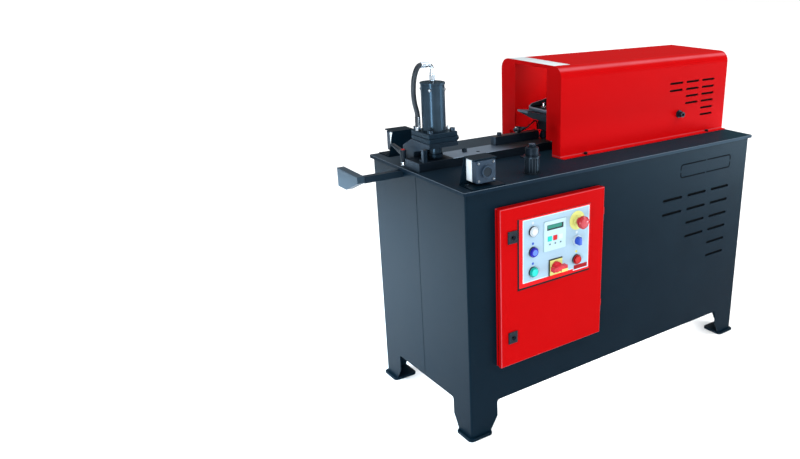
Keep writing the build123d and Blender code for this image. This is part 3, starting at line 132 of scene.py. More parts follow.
def relief(height, depth, strength=1.0):
    """Surface normal of a relief that deep."""
    return height.node("ShaderNodeBump", {}, {"Height": height, "Distance": depth, "Strength": strength})


def along(place, axis):
    """One coordinate of the place."""
    return place.node("ShaderNodeSeparateXYZ", {}, {"Vector": place}, axis)


def within(value, low, high):
    """1 between two limits, 0 outside."""
    return (value > low) * (value < high)


def ease(value, low, high):
    """0 below one limit, 1 above the other, smooth between them."""
    limits = {"Value": value, "From Min": low, "From Max": high}
    return value.node("ShaderNodeMapRange", {"interpolation_type": "SMOOTHSTEP"}, limits)


def facing(material, axis):
    """One coordinate of the surface normal, which turns with the piece."""
    return along(Shade(material.node_tree.nodes.new("ShaderNodeTexCoord").outputs["Normal"]), axis)


def powder_coat(name, dark, light, roughness, grain, depth, gloss):
    """Sandy or orange-peel paint with faint cloudy shifts of shade."""
    material, shader, place = start_finish(name)
    sand = speckle(place, grain)
    cloud = speckle(place, 0.11, 3.0)
    feed(
        shader,
        base_color=blend(sand * 0.6 + cloud * 0.4, dark, light),
        roughness=roughness - 0.08 + cloud * 0.1 + sand * 0.06,
        normal=relief(sand, depth, 0.6),
        specular_ior_level=gloss,
        specular_tint=(0.74, 0.9, 1.0, 1.0),
    )
    return material


def dress(material, *nodes):
    """Gives CAD nodes their finish."""
    for name in nodes:
        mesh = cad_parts[name].data
        mesh.materials.clear()
        mesh.materials.append(material)


slate_dark = (0.0008, 0.0042, 0.0085)
slate_light = (0.003, 0.011, 0.0195)
slate_paint = powder_coat("slate_paint", slate_dark, slate_light, 0.34, 0.0013, 0.00025, 0.04)
dress(slate_paint, "front_shell", "rear_shell", "foot_plates")

# Table: a thick plate in the same paint, laid on the cabinet and welded from below. Its broken top edge
# is painted lighter, as rubbed wear and a painted highlight. The rear of its top, the front right of its top
# and its front edge carry painted reflections and sheen.
rubbed, shader, place = start_finish("table_wear_and_sheen")
sand = speckle(place, 0.0013)
cloud = speckle(place, 0.09, 3.0)
table_x = along(place, "X")
table_y = along(place, "Y")
upward = facing(rubbed, "Z")
on_top = upward > 0.9
# Rubbed wear and a painted highlight on the broken top edge.
worn_and_highlight = within(upward, 0.3, 0.95) * (cloud * 0.5 + 0.6)
base = blend(sand * 0.6 + cloud * 0.4, (0.002, 0.0065, 0.0125), (0.0068, 0.0152, 0.025))
# Painted reflection: the rear part of the top is lighter.
rear_reflection = ease(table_y, 0.01, 0.1) * on_top * (cloud * 0.5 + 0.5)
base = blend(rear_reflection, base, (0.034, 0.048, 0.062))
# Painted reflection: the front right of the top has a cooler, lighter tone.
cool_reflection = ease(table_x, -0.28, 0.05) * (1 - ease(table_y, -0.05, 0.1)) * on_top
base = blend(cool_reflection, base, (0.0025, 0.0185, 0.0285))
# Painted sheen: the front edge grows lighter towards the right.
painted_edge_sheen = blend(ease(table_x, -0.62, 0.62), (0.004, 0.0105, 0.019), (0.03, 0.048, 0.067))
front_edge = facing(rubbed, "Y") < -0.7
base = blend(front_edge, base, painted_edge_sheen)
blue_glint = (0.6, 0.83, 1.0, 1.0)
feed(
    shader,
    base_color=blend(worn_and_highlight, base, (0.1, 0.13, 0.165)),
    roughness=0.5 - worn_and_highlight * 0.18 + cloud * 0.08,
    normal=relief(sand, 0.0002, 0.6),
    specular_ior_level=0.03,
    specular_tint=blue_glint,
)
dress(rubbed, "table_plate")

# Cabinet floor: a zinc-plated sheet with the large pale crystals of hot dipping, tacked between
# the panels under the oil tank.
zinc, shader, place = start_finish("galvanised_sheet")
flakes = place.node("ShaderNodeTexVoronoi", {}, {"Vector": place, "Scale": 90.0}, "Color")
flake = flakes.node("ShaderNodeSeparateColor", {}, {"Color": flakes})
feed(
    shader,
    base_color=blend(flake, (0.36, 0.37, 0.38), (0.6, 0.61, 0.62)),
    roughness=0.34 + flake * 0.2,
    metallic=1.0,
)
dress(zinc, "floor_sheet")


# Blank name field at the right of the front panel: a rounded outline in four strokes, inlaid in
# black. The field inside it is bare paint.
half_length = 620.0
half_depth = 268.0


def spot(x, y, z):
    """A place in millimetres from the cabinet's left panel, front panel and floor, in the frame."""
    return Vector((x - half_length, y - half_depth, z)) / 1000


def add_object(name, data):
    """Puts a new object into the scene."""
    new = bpy.data.objects.new(name, data)
    bpy.context.scene.collection.objects.link(new)
    return new


def settle(name, mesh, material, body, sharp=40.0):
    """Makes a piece of the machine from a mesh: material, body and material slot."""
    bmesh.ops.recalc_face_normals(mesh, faces=mesh.faces)
    data = bpy.data.meshes.new(name)
    mesh.to_mesh(data)
    mesh.free()
    data.materials.append(material)
    for polygon in data.polygons:
        polygon.use_smooth = True
    data.set_sharp_from_angle(angle=math.radians(sharp))
    piece = add_object(name, data)
    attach(piece, body)
    return piece


def sweep(mesh, line, section):
    """Adds a bar along a line of (x, z) places in millimetres; its section is pairs of offset and y."""
    rings = []
    for index, (x, z) in enumerate(line):
        before = line[max(index - 1, 0)]
        after = line[min(index + 1, len(line) - 1)]
        run = Vector((after[0] - before[0], after[1] - before[1])).normalized()
        corners = [(x - run.y * out, y, z + run.x * out) for out, y in section]
        rings.append([mesh.verts.new(spot(*corner)) for corner in corners])
    for below, above in zip(rings, rings[1:]):
        for step in range(len(section)):
            mesh.faces.new((below[step - 1], below[step], above[step], above[step - 1]))
    mesh.faces.new(rings[0])
    mesh.faces.new(rings[-1])


inlay, shader, place = start_finish("inlay_black")
grit = speckle(place, 0.0008)
ink_shade = blend(grit, (0.0012, 0.002, 0.003), (0.003, 0.0045, 0.006))
feed(shader, base_color=ink_shade, roughness=0.6 + grit * 0.2, specular_ior_level=0.01)
field_x = 1010.0
field_z = 710.5
field_half_x = 132.0
field_half_z = 22.5
corner_r = 10.0
stroke_gap = 4.0
half_w = 2.1
stroke = [(-half_w, -0.35), (half_w, -0.35), (half_w, 0.4), (-half_w, 0.4)]
field = bmesh.new()
for side_x, side_z in itertools.product((-1, 1), (-1, 1)):
    arc_x = field_x + side_x * (field_half_x - corner_r)
    arc_z = field_z + side_z * (field_half_z - corner_r)
    line = [(field_x + side_x * stroke_gap, field_z + side_z * field_half_z)]
    for step in range(7):
        angle = math.pi / 2 * (1 - step / 6)
        out_x = side_x * corner_r * math.cos(angle)
        out_z = side_z * corner_r * math.sin(angle)
        line.append((arc_x + out_x, arc_z + out_z))
    line.append((field_x + side_x * field_half_x, field_z + side_z * stroke_gap))
    sweep(field, line, stroke)
settle("name_field", field, inlay, "machine")


# Seams of the two wraps: a dark strip on each end of the cabinet is painted shade in the seam's gap.
# It is pressed in flush and stands proud by a hair.
def slab(mesh, low, high, broken):
    """Adds a straight block between two corners in millimetres, with its edges broken."""
    verts = bmesh.ops.create_cube(mesh, size=1.0)["verts"]
    low = spot(*low)
    high = spot(*high)
    for vert in verts:
        vert.co = Vector([(a + b) / 2 + c * (b - a) for a, b, c in zip(low, high, vert.co)])
    edges = list({line for vert in verts for line in vert.link_edges})
    bmesh.ops.bevel(mesh, geom=edges, offset=broken / 1000, segments=2, profile=0.6, affect="EDGES")


proud = 0.25
seam_half_w = 0.9
seams = bmesh.new()
# Painted shade: a dark strip along each seam.
for x in (-proud, 2 * half_length - proud):
    slab(seams, (x, half_depth - seam_half_w, 118.0), (x + 2 * proud, half_depth + seam_half_w, 782.0), 0.2)
settle("seam_shadow_strip", seams, inlay, "machine")


# Switch enclosure and door: sheet steel in satin red powder coat, smoother than the cabinet. The bent edges
# carry a painted pale highlight, and a painted shadow line runs round the door's sides at the gap.
# The door hangs on two pin hinges and shuts on a foam strip.
def off_axis(material):
    """1 on rounded and slanted faces, 0 on faces square to an axis."""
    square_on = 0.955
    mask = 1.0
    for axis in "XYZ":
        mask = mask * (abs(facing(material, axis)) < square_on)
    return mask


red_dark = (0.325, 0.0008, 0.0012)
red_light = (0.4, 0.0018, 0.0026)
door_red, shader, place = start_finish("door_red")
sand = speckle(place, 0.0011)
cloud = speckle(place, 0.11, 3.0)
# Painted highlight: the bent edges are pale pink.
edge_highlight = off_axis(door_red) * (cloud * 0.5 + 0.15)
gap_front = spot(0, -10.4, 0).y
gap_back = spot(0, -7.4, 0).y
# Painted shadow: a dark line round the door's sides at the gap.
gap_shade = within(along(place, "Y"), gap_front, gap_back)
red_coat = blend(edge_highlight, blend(sand * 0.6 + cloud * 0.4, red_dark, red_light), (0.52, 0.12, 0.14))
feed(
    shader,
    base_color=blend(gap_shade, red_coat, (0.03, 0.0008, 0.001)),
    roughness=0.36 + cloud * 0.1 - edge_highlight * 0.1,
    normal=relief(sand, 0.00006, 0.6),
    specular_ior_level=0.015,
)
dress(door_red, "door", "enclosure_box")


def black_oxide(name, dark, light, roughness, metallic):
    """Blackened steel: dark, faintly blue, a little cloudy from handling oil."""
    material, shader, place = start_finish(name)
    smear = speckle(place, 0.028, 4.0)
    grit = speckle(place, 0.0009)
    feed(
        shader,
        base_color=blend(smear * 0.7 + grit * 0.3, dark, light),
        roughness=roughness - 0.1 + smear * 0.2,
        metallic=metallic,
        normal=relief(grit, 0.00005, 0.5),
        specular_ior_level=0.1,
        specular_tint=blue_glint,
    )
    return material


hinge_black = black_oxide("hinge_black", (0.006, 0.009, 0.013), (0.018, 0.024, 0.031), 0.38, 0.4)
dress(hinge_black, "door_hinges")
foam, shader, place = start_finish("foam_strip")
cells = place.node("ShaderNodeTexVoronoi", {}, {"Vector": place, "Scale": 900.0})
feed(
    shader,
    base_color=blend(cells, (0.0008, 0.001, 0.0013), (0.0032, 0.004, 0.005)),
    roughness=0.85,
    normal=relief(cells, 0.0003),
    specular_ior_level=0.02,
)
seal_front = -22.5
seal_back = -8.4
seal_w = 10
seal_round = 2.5
seal = bmesh.new()
for x in (108, 478):
    slab(seal, (x, seal_front, 238), (x + seal_w, seal_back, 718), seal_round)
for z in (238, 708):
    slab(seal, (118, seal_front, z), (478, seal_back, z + seal_w), seal_round)
settle("door_seal", seal, foam, "door")


# Switchgear on its rails inside the enclosure: pale moulded housings with stepped fronts, rows of
# terminal screws and slotted wiring ducts between them.
def deeper(colour, share):
    """The colour at a share of its brightness."""
    return tuple(share * channel for channel in colour)


def moulded(name, colour, roughness):
    """Moulded plastic with a fine eroded skin."""
    material, shader, place = start_finish(name)
    skin = speckle(place, 0.0005)
    cloud = speckle(place, 0.03)
    feed(
        shader,
        base_color=blend(cloud * 0.5 + skin * 0.5, deeper(colour, 0.84), colour),
        roughness=roughness - 0.05 + skin * 0.1,
        normal=relief(skin, 0.00003, 0.5),
        specular_ior_level=0.12,
    )
    return material


def plated(name, colour, roughness):
    """Bright zinc or chrome plate with faint handling haze."""
    material, shader, place = start_finish(name)
    haze = speckle(place, 0.012, 4.0)
    feed(
        shader,
        base_color=blend(haze, deeper(colour, 0.86), colour),
        roughness=roughness + haze * 0.12,
        metallic=1.0,
    )
    return material


def turn(mesh, profile, base, way=(0, 0, 1), sides=28, hollow=False):
    """Adds a turned form: radius and height pairs in millimetres along an axis that starts at base."""
    spin = Vector(way).to_track_quat("Z", "Y").to_matrix()
    rings = []
    for radius, height in profile:
        count = sides if radius > 0 else 1
        ring = []
        for step in range(count):
            angle = 2 * math.pi * step / count
            rim = Vector((radius * math.cos(angle), radius * math.sin(angle), height)) / 1000
            ring.append(mesh.verts.new(spot(*base) + spin @ rim))
        rings.append(ring)
    pairs = list(zip(rings, rings[1:])) + ([(rings[-1], rings[0])] if hollow else [])
    for below, above in pairs:
        for step in range(max(len(below), len(above))):
            corners = [below[step % len(below)], below[(step + 1) % len(below)]]
            corners += [above[(step + 1) % len(above)], above[step % len(above)]]
            mesh.faces.new(dict.fromkeys(corners))
    if not hollow:
        for ring in (rings[0], rings[-1]):
            if len(ring) > 2:
                mesh.faces.new(ring)


bright_zinc = plated("bright_zinc", (0.48, 0.51, 0.55), 0.2)
chrome = plated("chrome", (0.5, 0.57, 0.64), 0.12)
dull_zinc = plated("dull_zinc", (0.2, 0.215, 0.235), 0.28)
gear_pale = moulded("switchgear_grey", (0.5, 0.51, 0.52), 0.5)
gear_dark = moulded("switchgear_dark", (0.06, 0.065, 0.07), 0.45)
dress(gear_pale, "switchgear")
fronts = bmesh.new()
heads = bmesh.new()
small_head = [(2.6, 0.0), (2.6, 1.2), (2.2, 1.7), (0.9, 1.7), (0.8, 0.7), (0.0, 0.7)]
contactor_y = 108.5
relay_y = 123.5
terminal_y = 148.5
toward_door = (0, -1, 0)
for x in (162, 212, 262):
    slab(fronts, (x - 16, contactor_y - 8, 578), (x + 16, contactor_y, 622), 1.5)
    slab(fronts, (x - 6, contactor_y - 12, 592), (x + 6, contactor_y - 8, 608), 1.0)
    for z, step in itertools.product((564, 636), (-14, 0, 14)):
        turn(heads, small_head, (x + step, contactor_y, z), toward_door, 14)
slab(fronts, (318, relay_y - 4, 600), (372, relay_y, 640), 1.5)
turn(fronts, [(9, 0), (9, 7), (8, 8), (0, 8)], (400, relay_y, 620), toward_door)
for step in range(18):
    x = 145.5 + 10.5 * step
    slab(fronts, (x - 4.4, terminal_y - 4, 418), (x + 4.4, terminal_y, 442), 0.8)
    for z in (411, 449):
        turn(heads, small_head, (x, terminal_y, z), toward_door, 14)
slab(fronts, (372, 100, 290), (438, 111, 340), 2.0)
settle("switchgear_fronts", fronts, gear_dark, "machine")
settle("terminal_screws", heads, bright_zinc, "machine")
ducts = bmesh.new()
duct_left = 128
duct_right = 468
for low_z in (500, 665):
    slab(ducts, (duct_left, 150, low_z), (duct_right, 198, low_z + 3), 0.8)
    slab(ducts, (duct_left, 150, low_z + 37), (duct_right, 198, low_z + 40), 0.8)
    slab(ducts, (duct_left, 147, low_z + 2), (duct_right, 150, low_z + 38), 0.8)
    for step in range(28):
        x = 134 + 12 * step
        slab(ducts, (x, 152, low_z - 3), (x + 7, 190, low_z), 0.6)
settle("wiring_ducts", ducts, gear_pale, "machine")

# Control panel: a thin plate printed pale blue, with a red border on the left and below, a fine black
# outline round it, plain dots over most controls and a plain bar, and a painted highlight in a lighter band
# round the blue field.
# It is stuck to the door.
panel_low, panel_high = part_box("control_panel")
printed, shader, place = start_finish("printed_panel")
outline = 0.0058
border = 0.019
step_x = panel_high.x - 0.068
step_down = 0.0067
rim_highlight_width = 0.003
panel_x = along(place, "X")
panel_z = along(place, "Z")
red_area = within(panel_x, panel_low.x + outline, panel_high.x - 0.001)
red_area = red_area * within(panel_z, panel_low.z + outline, panel_high.z - 0.001)
lower_edge = panel_low.z + border - (panel_x > step_x) * step_down
blue_area = within(panel_x, panel_low.x + border, panel_high.x - outline)
blue_area = blue_area * (panel_z > lower_edge) * (panel_z < panel_high.z - outline)
inner = within(panel_x, panel_low.x + border + rim_highlight_width, panel_high.x - outline - rim_highlight_width)
inner = inner * (panel_z > lower_edge + rim_highlight_width) * (panel_z < panel_high.z - outline - rim_highlight_width)
ink = speckle(place, 0.004)
ground = blend(red_area, (0.004, 0.005, 0.007), (0.55, 0.004, 0.006))
# Painted highlight: a lighter band round the edges of the blue field.
rim_highlight_blue = blend(blue_area, ground, (0.42, 0.56, 0.62))
pale_blue = blend(ink, (0.27, 0.375, 0.455), (0.3, 0.405, 0.485))
print_colour = blend(inner, rim_highlight_blue, pale_blue)


def distance(place, point, axes=(1.0, 1.0, 1.0)):
    """Distance of the place from a point in metres, along the axes that are marked with 1."""
    flat = place.node("ShaderNodeVectorMath", {"operation": "MULTIPLY"}, {0: place, 1: axes})
    return flat.node("ShaderNodeVectorMath", {"operation": "DISTANCE"}, {0: flat, 1: point}, 1)


left_x = 214.5
right_x = 385.0
dot_radius = 0.0042
print_blue = (0.035, 0.085, 0.38)
dots = [
    (left_x, 668.0, (0.47, 0.5, 0.53)),
    (left_x, 604.0, print_blue),
    (left_x, 541.0, print_blue),
    (right_x, 604.0, (0.5, 0.53, 0.55)),
    (right_x, 541.0, (0.5, 0.44, 0.06)),
]
for dot_x, dot_z, colour in dots:
    dot = spot(dot_x, 0.0, dot_z)
    print_colour = blend(distance(place, (dot.x, panel_low.y, dot.z)) < dot_radius, print_colour, colour)
bar_low = spot(376.0, 0.0, 481.5)
bar_high = spot(431.0, 0.0, 495.5)
bar_area = within(panel_x, bar_low.x, bar_high.x) * within(panel_z, bar_low.z, bar_high.z)
feed(
    shader,
    base_color=blend(bar_area, print_colour, (0.26, 0.003, 0.005)),
    roughness=0.36 + ink * 0.08,
    normal=relief(speckle(place, 0.0006), 0.00002, 0.4),
    specular_ior_level=0.08,
)
dress(printed, "control_panel")

# Display module: a pale keypad foil with a green window sunk in a dark frame, flat keys, two of
# them coloured, and a row of plain printed bars. The frame is painted wider below and to the right of
# the window as painted shade of its recess. It is snapped into the panel.
display_low, display_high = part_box("display_module")
display_x = (display_low.x + display_high.x) / 2
window_z = (display_low.z + display_high.z) / 2 + 0.027
foil, shader, place = start_finish("keypad_foil")
foil_x = along(place, "X") - display_x
foil_z = along(place, "Z") - window_z
key_band = within(foil_z, -0.0435, -0.0275)
bar_band = within(foil_z, -0.0555, -0.0505)
key_step = 0.021
key_half = 0.008
bar_half = 0.003
shaded_frame_area = within(foil_x, -0.0315, 0.0315) * within(foil_z, -0.0085, 0.0085)
# Painted shade: the window sits towards the upper left, so the dark frame shows wider below and to the
# right.
glass_area = within(foil_x, -0.0285, 0.0265) * within(foil_z, -0.0042, 0.0068)
film = speckle(place, 0.003)
shade = blend(film, (0.35, 0.49, 0.53), (0.39, 0.53, 0.57))
shade = blend(shaded_frame_area, shade, (0.012, 0.015, 0.018))
shade = blend(glass_area, shade, (0.026, 0.18, 0.13))
keys = [(-key_step, (0.004, 0.44, 0.37)), (0.0, (0.42, 0.006, 0.01)), (key_step, (0.47, 0.52, 0.55))]
for key_x, colour in keys:
    key = within(foil_x, key_x - key_half, key_x + key_half) * key_band
    bar = within(foil_x, key_x - bar_half, key_x + bar_half) * bar_band
    shade = blend(key, shade, colour)
    shade = blend(bar, shade, (0.06, 0.08, 0.11))
feed(shader, base_color=shade, roughness=0.38 - glass_area * 0.26, specular_ior_level=0.15)
dress(foil, "display_module")


# Push buttons, lamp, selector, main switch and emergency stop: glossy moulded caps in dark bezels. Each
# cap's face is painted lighter than its rim, as painted highlight and shade. They are put through the door
# from the front and held by contact blocks behind it.
def away_from(place, x, z):
    """Distance from an axis along Y, given in millimetres."""
    centre = spot(x, half_depth, z)
    return distance(place, centre, (1.0, 0.0, 1.0))


def glossy_cap(name, shaded_rim_colour, colour, x, z, core):
    """Moulded cap painted lighter inside the core radius in metres as a painted highlight, darker on its rim
    as painted shade.
    """
    material, shader, place = start_finish(name)
    skin = speckle(place, 0.0006)
    face = away_from(place, x, z) < core
    feed(
        shader,
        base_color=blend(face, blend(skin, deeper(shaded_rim_colour, 0.85), shaded_rim_colour), colour),
        roughness=0.2 + skin * 0.08,
        normal=relief(skin, 0.00002, 0.4),
        specular_ior_level=0.3,
    )
    return material


upper_z = 642.5
middle_z = 578.5
lower_z = 515.5
# Painted highlight and shade: each cap's face colour is lighter than its rim colour.
caps = [
    ("signal_lamp", "lamp_white", (0.42, 0.47, 0.5), (0.54, 0.58, 0.6), left_x, upper_z, 0.009),
    ("blue_button", "cap_blue", (0.014, 0.012, 0.3), (0.075, 0.154, 0.51), left_x, middle_z, 0.0088),
    ("green_button", "cap_green", (0.003, 0.33, 0.28), (0.005, 0.45, 0.39), left_x, lower_z, 0.0105),
    ("selector_knob", "knob_blue", (0.028, 0.075, 0.4), (0.034, 0.088, 0.46), right_x, middle_z, 0.009),
    ("red_button", "cap_red", (0.32, 0.002, 0.003), (0.42, 0.003, 0.004), right_x, lower_z, 0.0095),
    ("switch_handle", "handle_red", (0.46, 0.014, 0.028), (0.52, 0.022, 0.036), 301.0, 512.0, 0.012),
    ("estop_button", "mushroom_red", (0.34, 0.012, 0.018), (0.41, 0.05, 0.062), right_x, upper_z, 0.0155),
]
for node, finish, shaded_rim_colour, colour, x, z, core in caps:
    dress(glossy_cap(finish, shaded_rim_colour, colour, x, z, core), node)
bezel_finish, shader, place = start_finish("bezel_dark")
skin = speckle(place, 0.0006)
bezel_colour = blend(skin, (0.01, 0.013, 0.018), (0.02, 0.025, 0.032))
lit_rings = [
    (left_x, upper_z, 0.0152, (0.46, 0.51, 0.54)),
    (left_x, middle_z, 0.0152, (0.016, 0.014, 0.3)),
    (left_x, lower_z, 0.0152, (0.003, 0.33, 0.28)),
    (right_x, lower_z, 0.0152, (0.34, 0.002, 0.003)),
    (right_x, middle_z, 0.0165, (0.4, 0.48, 0.53)),
    (right_x, upper_z, 0.021, (0.5, 0.48, 0.16)),
]
for ring_x, ring_z, reach, colour in lit_rings:
    bezel_colour = blend(away_from(place, ring_x, ring_z) < reach, bezel_colour, colour)
feed(
    shader,
    base_color=bezel_colour,
    roughness=0.26 + skin * 0.08,
    normal=relief(skin, 0.00002, 0.4),
    specular_ior_level=0.25,
)
dress(bezel_finish, "button_bezels")
blocks = bmesh.new()
block_heads = bmesh.new()
collar = [(11.1, 0), (15, 0), (15.5, 0.6), (15.5, 12), (11.1, 12)]
for x, z in itertools.product((left_x, right_x), (upper_z, middle_z, lower_z)):
    turn(blocks, collar, (x, -13.5, z), (0, 1, 0), 32, True)
    slab(blocks, (x - 15, -1.5, z - 20), (x + 15, 24, z + 20), 1.2)
    slab(blocks, (x - 11, 24, z - 14), (x + 11, 27, z + 14), 0.8)
    for step, side in itertools.product((-9, 9), (-17, 17)):
        turn(block_heads, small_head, (x + step, 24, z + side), (0, 1, 0), 14)
slab(blocks, (277, -5, 488), (325, 30, 536), 2.0)
settle("contact_blocks", blocks, gear_dark, "door")
settle("contact_screws", block_heads, bright_zinc, "door")

# Legend plates: a yellow ring under the emergency stop and a yellow square on a black base under
# the main switch, both clamped by the control before them. The square is painted black along its left
# and top edges as painted shade of the base's sides. A plain tag is glued round the grip.
legend_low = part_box("legend_plates")[0]
legend, shader, place = start_finish("legend_yellow")
square = 0.052
shade_band = 0.0035
legend_x = along(place, "X") - legend_low.x
legend_z = along(place, "Z") - legend_low.z
on_square = within(legend_x, -0.001, square + 0.001) * within(legend_z, -0.001, square + 0.001)
# Painted shade: the square is black along its left and top edges.
inside = (legend_x > shade_band) * (legend_z < square - shade_band)
dust = speckle(place, 0.002)
yellow = blend(dust, (0.52, 0.51, 0.14), (0.56, 0.545, 0.18))
feed(
    shader,
    base_color=blend(on_square * (1 - inside), yellow, (0.012, 0.013, 0.015)),
    roughness=0.4 + dust * 0.1,
    specular_ior_level=0.15,
)
dress(legend, "legend_plates")
tag = bmesh.new()
slab(tag, (303, -55.9, 501.8), (327.2, -53.0, 509.8), 0.25)
slab(tag, (303, -55.6, 500.6), (327.2, -45.0, 502.6), 0.25)
settle("handle_tag", tag, legend, "main_switch")

# Door locks: square black covers with a turning core that takes a key.
# Their skin is slightly shiny from handling.
lock_black = moulded("lock_black", (0.008, 0.013, 0.019), 0.4)
dress(lock_black, "lock_bodies", "upper_lock", "lower_lock")

# Hydraulic unit in the cabinet: painted tank and lid, ribbed motor, drilled alloy valve block.
# The tank is welded from sheet, and the motor and the block are bolted to its lid.
tank_paint = powder_coat("tank_paint", (0.16, 0.17, 0.18), (0.21, 0.22, 0.23), 0.45, 0.0012, 0.0001, 0.5)
cast_paint = powder_coat("cast_paint", (0.1, 0.11, 0.12), (0.15, 0.16, 0.17), 0.5, 0.003, 0.0004, 0.5)
dress(tank_paint, "oil_tank", "tank_lid")
dress(cast_paint, "pump_motor")


def tool_marks(place, scale):
    """Noise drawn out along the axes with the small scales."""
    stretched = place.node("ShaderNodeMapping", {}, {"Vector": place, "Scale": scale})
    return stretched.node("ShaderNodeTexNoise", {}, {"Vector": stretched, "Scale": 1.0, "Detail": 4.0})


def machined(name, dark, light, roughness, lay=(1.0, 40.0, 40.0)):
    """Ground or milled metal with fine tool marks that run along the axis with the smallest number."""
    material, shader, place = start_finish(name)
    marks = tool_marks(place, tuple(20 * step for step in lay))
    smear = speckle(place, 0.05, 3.0)
    feed(
        shader,
        base_color=blend(marks * 0.6 + smear * 0.4, dark, light),
        roughness=roughness - 0.1 + marks * 0.12 + smear * 0.08,
        metallic=1.0,
        normal=relief(marks, 0.00004, 0.35),
    )
    return material


dress(machined("alloy_block", (0.5, 0.51, 0.52), (0.64, 0.65, 0.66), 0.35), "valve_block")

# Forming drive: a painted cast housing with its end caps, fixed under the table. The bronze bushes, the
# hardened rack and pinion spindle and the mandrel are turned, cut and ground from bar.
dress(cast_paint, "actuator_housing", "actuator_caps")
bronze = machined("bronze", (0.42, 0.26, 0.1), (0.58, 0.38, 0.16), 0.32, (40.0, 40.0, 1.0))
tool_steel = machined("tool_steel", (0.3, 0.31, 0.33), (0.46, 0.47, 0.49), 0.3, (40.0, 40.0, 1.0))
dress(bronze, "spindle_bushes")
dress(tool_steel, "rack_piston", "spindle", "mandrel")

# Wiper arm, roller and tool tray: flame-cut plate, turned roller and a welded box, blackened. The
# arm's tip and the tray's rims are rubbed bright, the tray's front and left walls are painted lighter as
# painted light, and two plated studs hold the tray.
arm_dark = (0.005, 0.01, 0.016)
arm_light = (0.015, 0.025, 0.037)
dress(black_oxide("roller_black", arm_dark, arm_light, 0.4, 0.4), "forming_roller")
arm_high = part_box("forming_arm")[1]
arm_finish, shader, place = start_finish("rubbed_arm")
smear = speckle(place, 0.028, 4.0)
tip_reach = 0.05
tip_depth = 0.007
tip = (along(place, "Y") > arm_high.y - tip_reach) * (along(place, "Z") > arm_high.z - tip_depth)
tip = tip * (smear * 0.4 + 0.6)
feed(
    shader,
    base_color=blend(tip, blend(smear, arm_dark, arm_light), (0.12, 0.18, 0.23)),
    roughness=0.36 + smear * 0.12,
    metallic=0.3,
    specular_ior_level=0.1,
)
dress(arm_finish, "forming_arm")
tray_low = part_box("die_tray")[0]
tray_finish, shader, place = start_finish("rubbed_tray")
smear = speckle(place, 0.02, 4.0)
tray_wall = 0.0046
above_floor = 0.0056
inner = (along(place, "X") > tray_low.x + tray_wall) * (along(place, "Y") > tray_low.y + tray_wall)
rims = (facing(tray_finish, "Z") > 0.5) * (along(place, "Z") > tray_low.z + above_floor)
rims = rims * (smear * 0.5 + 0.55)
tray_colour = blend(smear, (0.002, 0.005, 0.008), (0.008, 0.012, 0.017))
# Painted light: the tray's front and left walls are lighter than the rest.
tray_colour = blend((1 - inner) * (smear * 0.6 + 0.5), tray_colour, (0.085, 0.125, 0.165))
feed(
    shader,
    base_color=blend(rims, tray_colour, (0.22, 0.29, 0.36)),
    roughness=0.45 - rims * 0.12,
    metallic=0.1,
    specular_ior_level=0.1,
)
dress(tray_finish, "die_tray")
dress(bright_zinc, "tray_bolts")

# Bed bar: a black bar with a bright milled top, where the work slides, browned with mill scale near
# the hood, and with its left-facing ends painted lighter as painted light. The guides are blackened
# blocks that are screwed down on it, and their left ends are painted lighter as painted light too.
bed_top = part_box("bed_bar")[1].z
bed_finish, shader, place = start_finish("milled_bed")
clamp_end = spot(124, 0, 0).x
scale_start = spot(300, 0, 0).x
scale_full = spot(372, 0, 0).x
bed_x = along(place, "X")
top_face = (facing(bed_finish, "Z") > 0.6) * (along(place, "Z") > bed_top - 0.0014)
top_face = top_face * (bed_x > clamp_end)
marks = tool_marks(place, (30.0, 900.0, 900.0))
smear = speckle(place, 0.06, 4.0)
milled = blend(marks * 0.5 + smear * 0.5, (0.112, 0.157, 0.215), (0.19, 0.25, 0.325))
rusty = ease(bed_x, scale_start, scale_full) * (smear * 0.6 + 0.55)
milled = blend(rusty, milled, (0.055, 0.043, 0.04))
flank = blend(smear, (0.002, 0.006, 0.011), (0.007, 0.013, 0.021))
# Painted light: faces turned to the left are lighter.
flank = blend((facing(bed_finish, "X") < -0.6) * (smear * 0.4 + 0.6), flank, (0.03, 0.048, 0.07))
feed(
    shader,
    base_color=blend(top_face, flank, milled),
    metallic=0.35 + top_face * 0.5,
    roughness=0.42 - top_face * 0.06 + marks * 0.1,
    normal=relief(marks * top_face, 0.00004, 0.35),
    specular_ior_level=0.1,
)
dress(bed_finish, "bed_bar")
block_dark = (0.0025, 0.0075, 0.0135)
block_light = (0.0088, 0.0185, 0.0305)


def dusty_block_lit_left(name, top, end):
    """Blackened block with a dusty shade on its top faces and left ends painted lighter as painted light."""
    material, shader, place = start_finish(name)
    smear = speckle(place, 0.028, 4.0)
    shade = blend(smear, block_dark, block_light)
    shade = blend((facing(material, "Z") > 0.7) * (smear * 0.6 + 0.4), shade, top)
    # Painted light: faces turned to the left are lighter.
    shade = blend((facing(material, "X") < -0.5) * (smear * 0.4 + 0.6), shade, end)
    feed(shader, base_color=shade, roughness=0.36 + smear * 0.16, metallic=0.2, specular_ior_level=0.1)
    return material


dress(dusty_block_lit_left("guides_dusty_lit_left", (0.05, 0.046, 0.045), (0.05, 0.075, 0.105)), "bed_guides")

# Clamp frame, plates and press foot: flame-cut and milled blocks, blackened. The plates are stacked on
# the frame and held by socket screws, and the frame's left faces are painted lighter as painted light.
dress(dusty_block_lit_left("frame_dusty_lit_left", (0.02, 0.03, 0.042), (0.023, 0.041, 0.063)), "clamp_frame")
block_black = black_oxide("block_black", block_dark, block_light, 0.4, 0.3)
dress(block_black, "clamp_plates", "press_foot")
screw_black = black_oxide("screw_black", (0.014, 0.021, 0.03), (0.035, 0.05, 0.068), 0.32, 0.6)
dress(screw_black, "cap_screws")


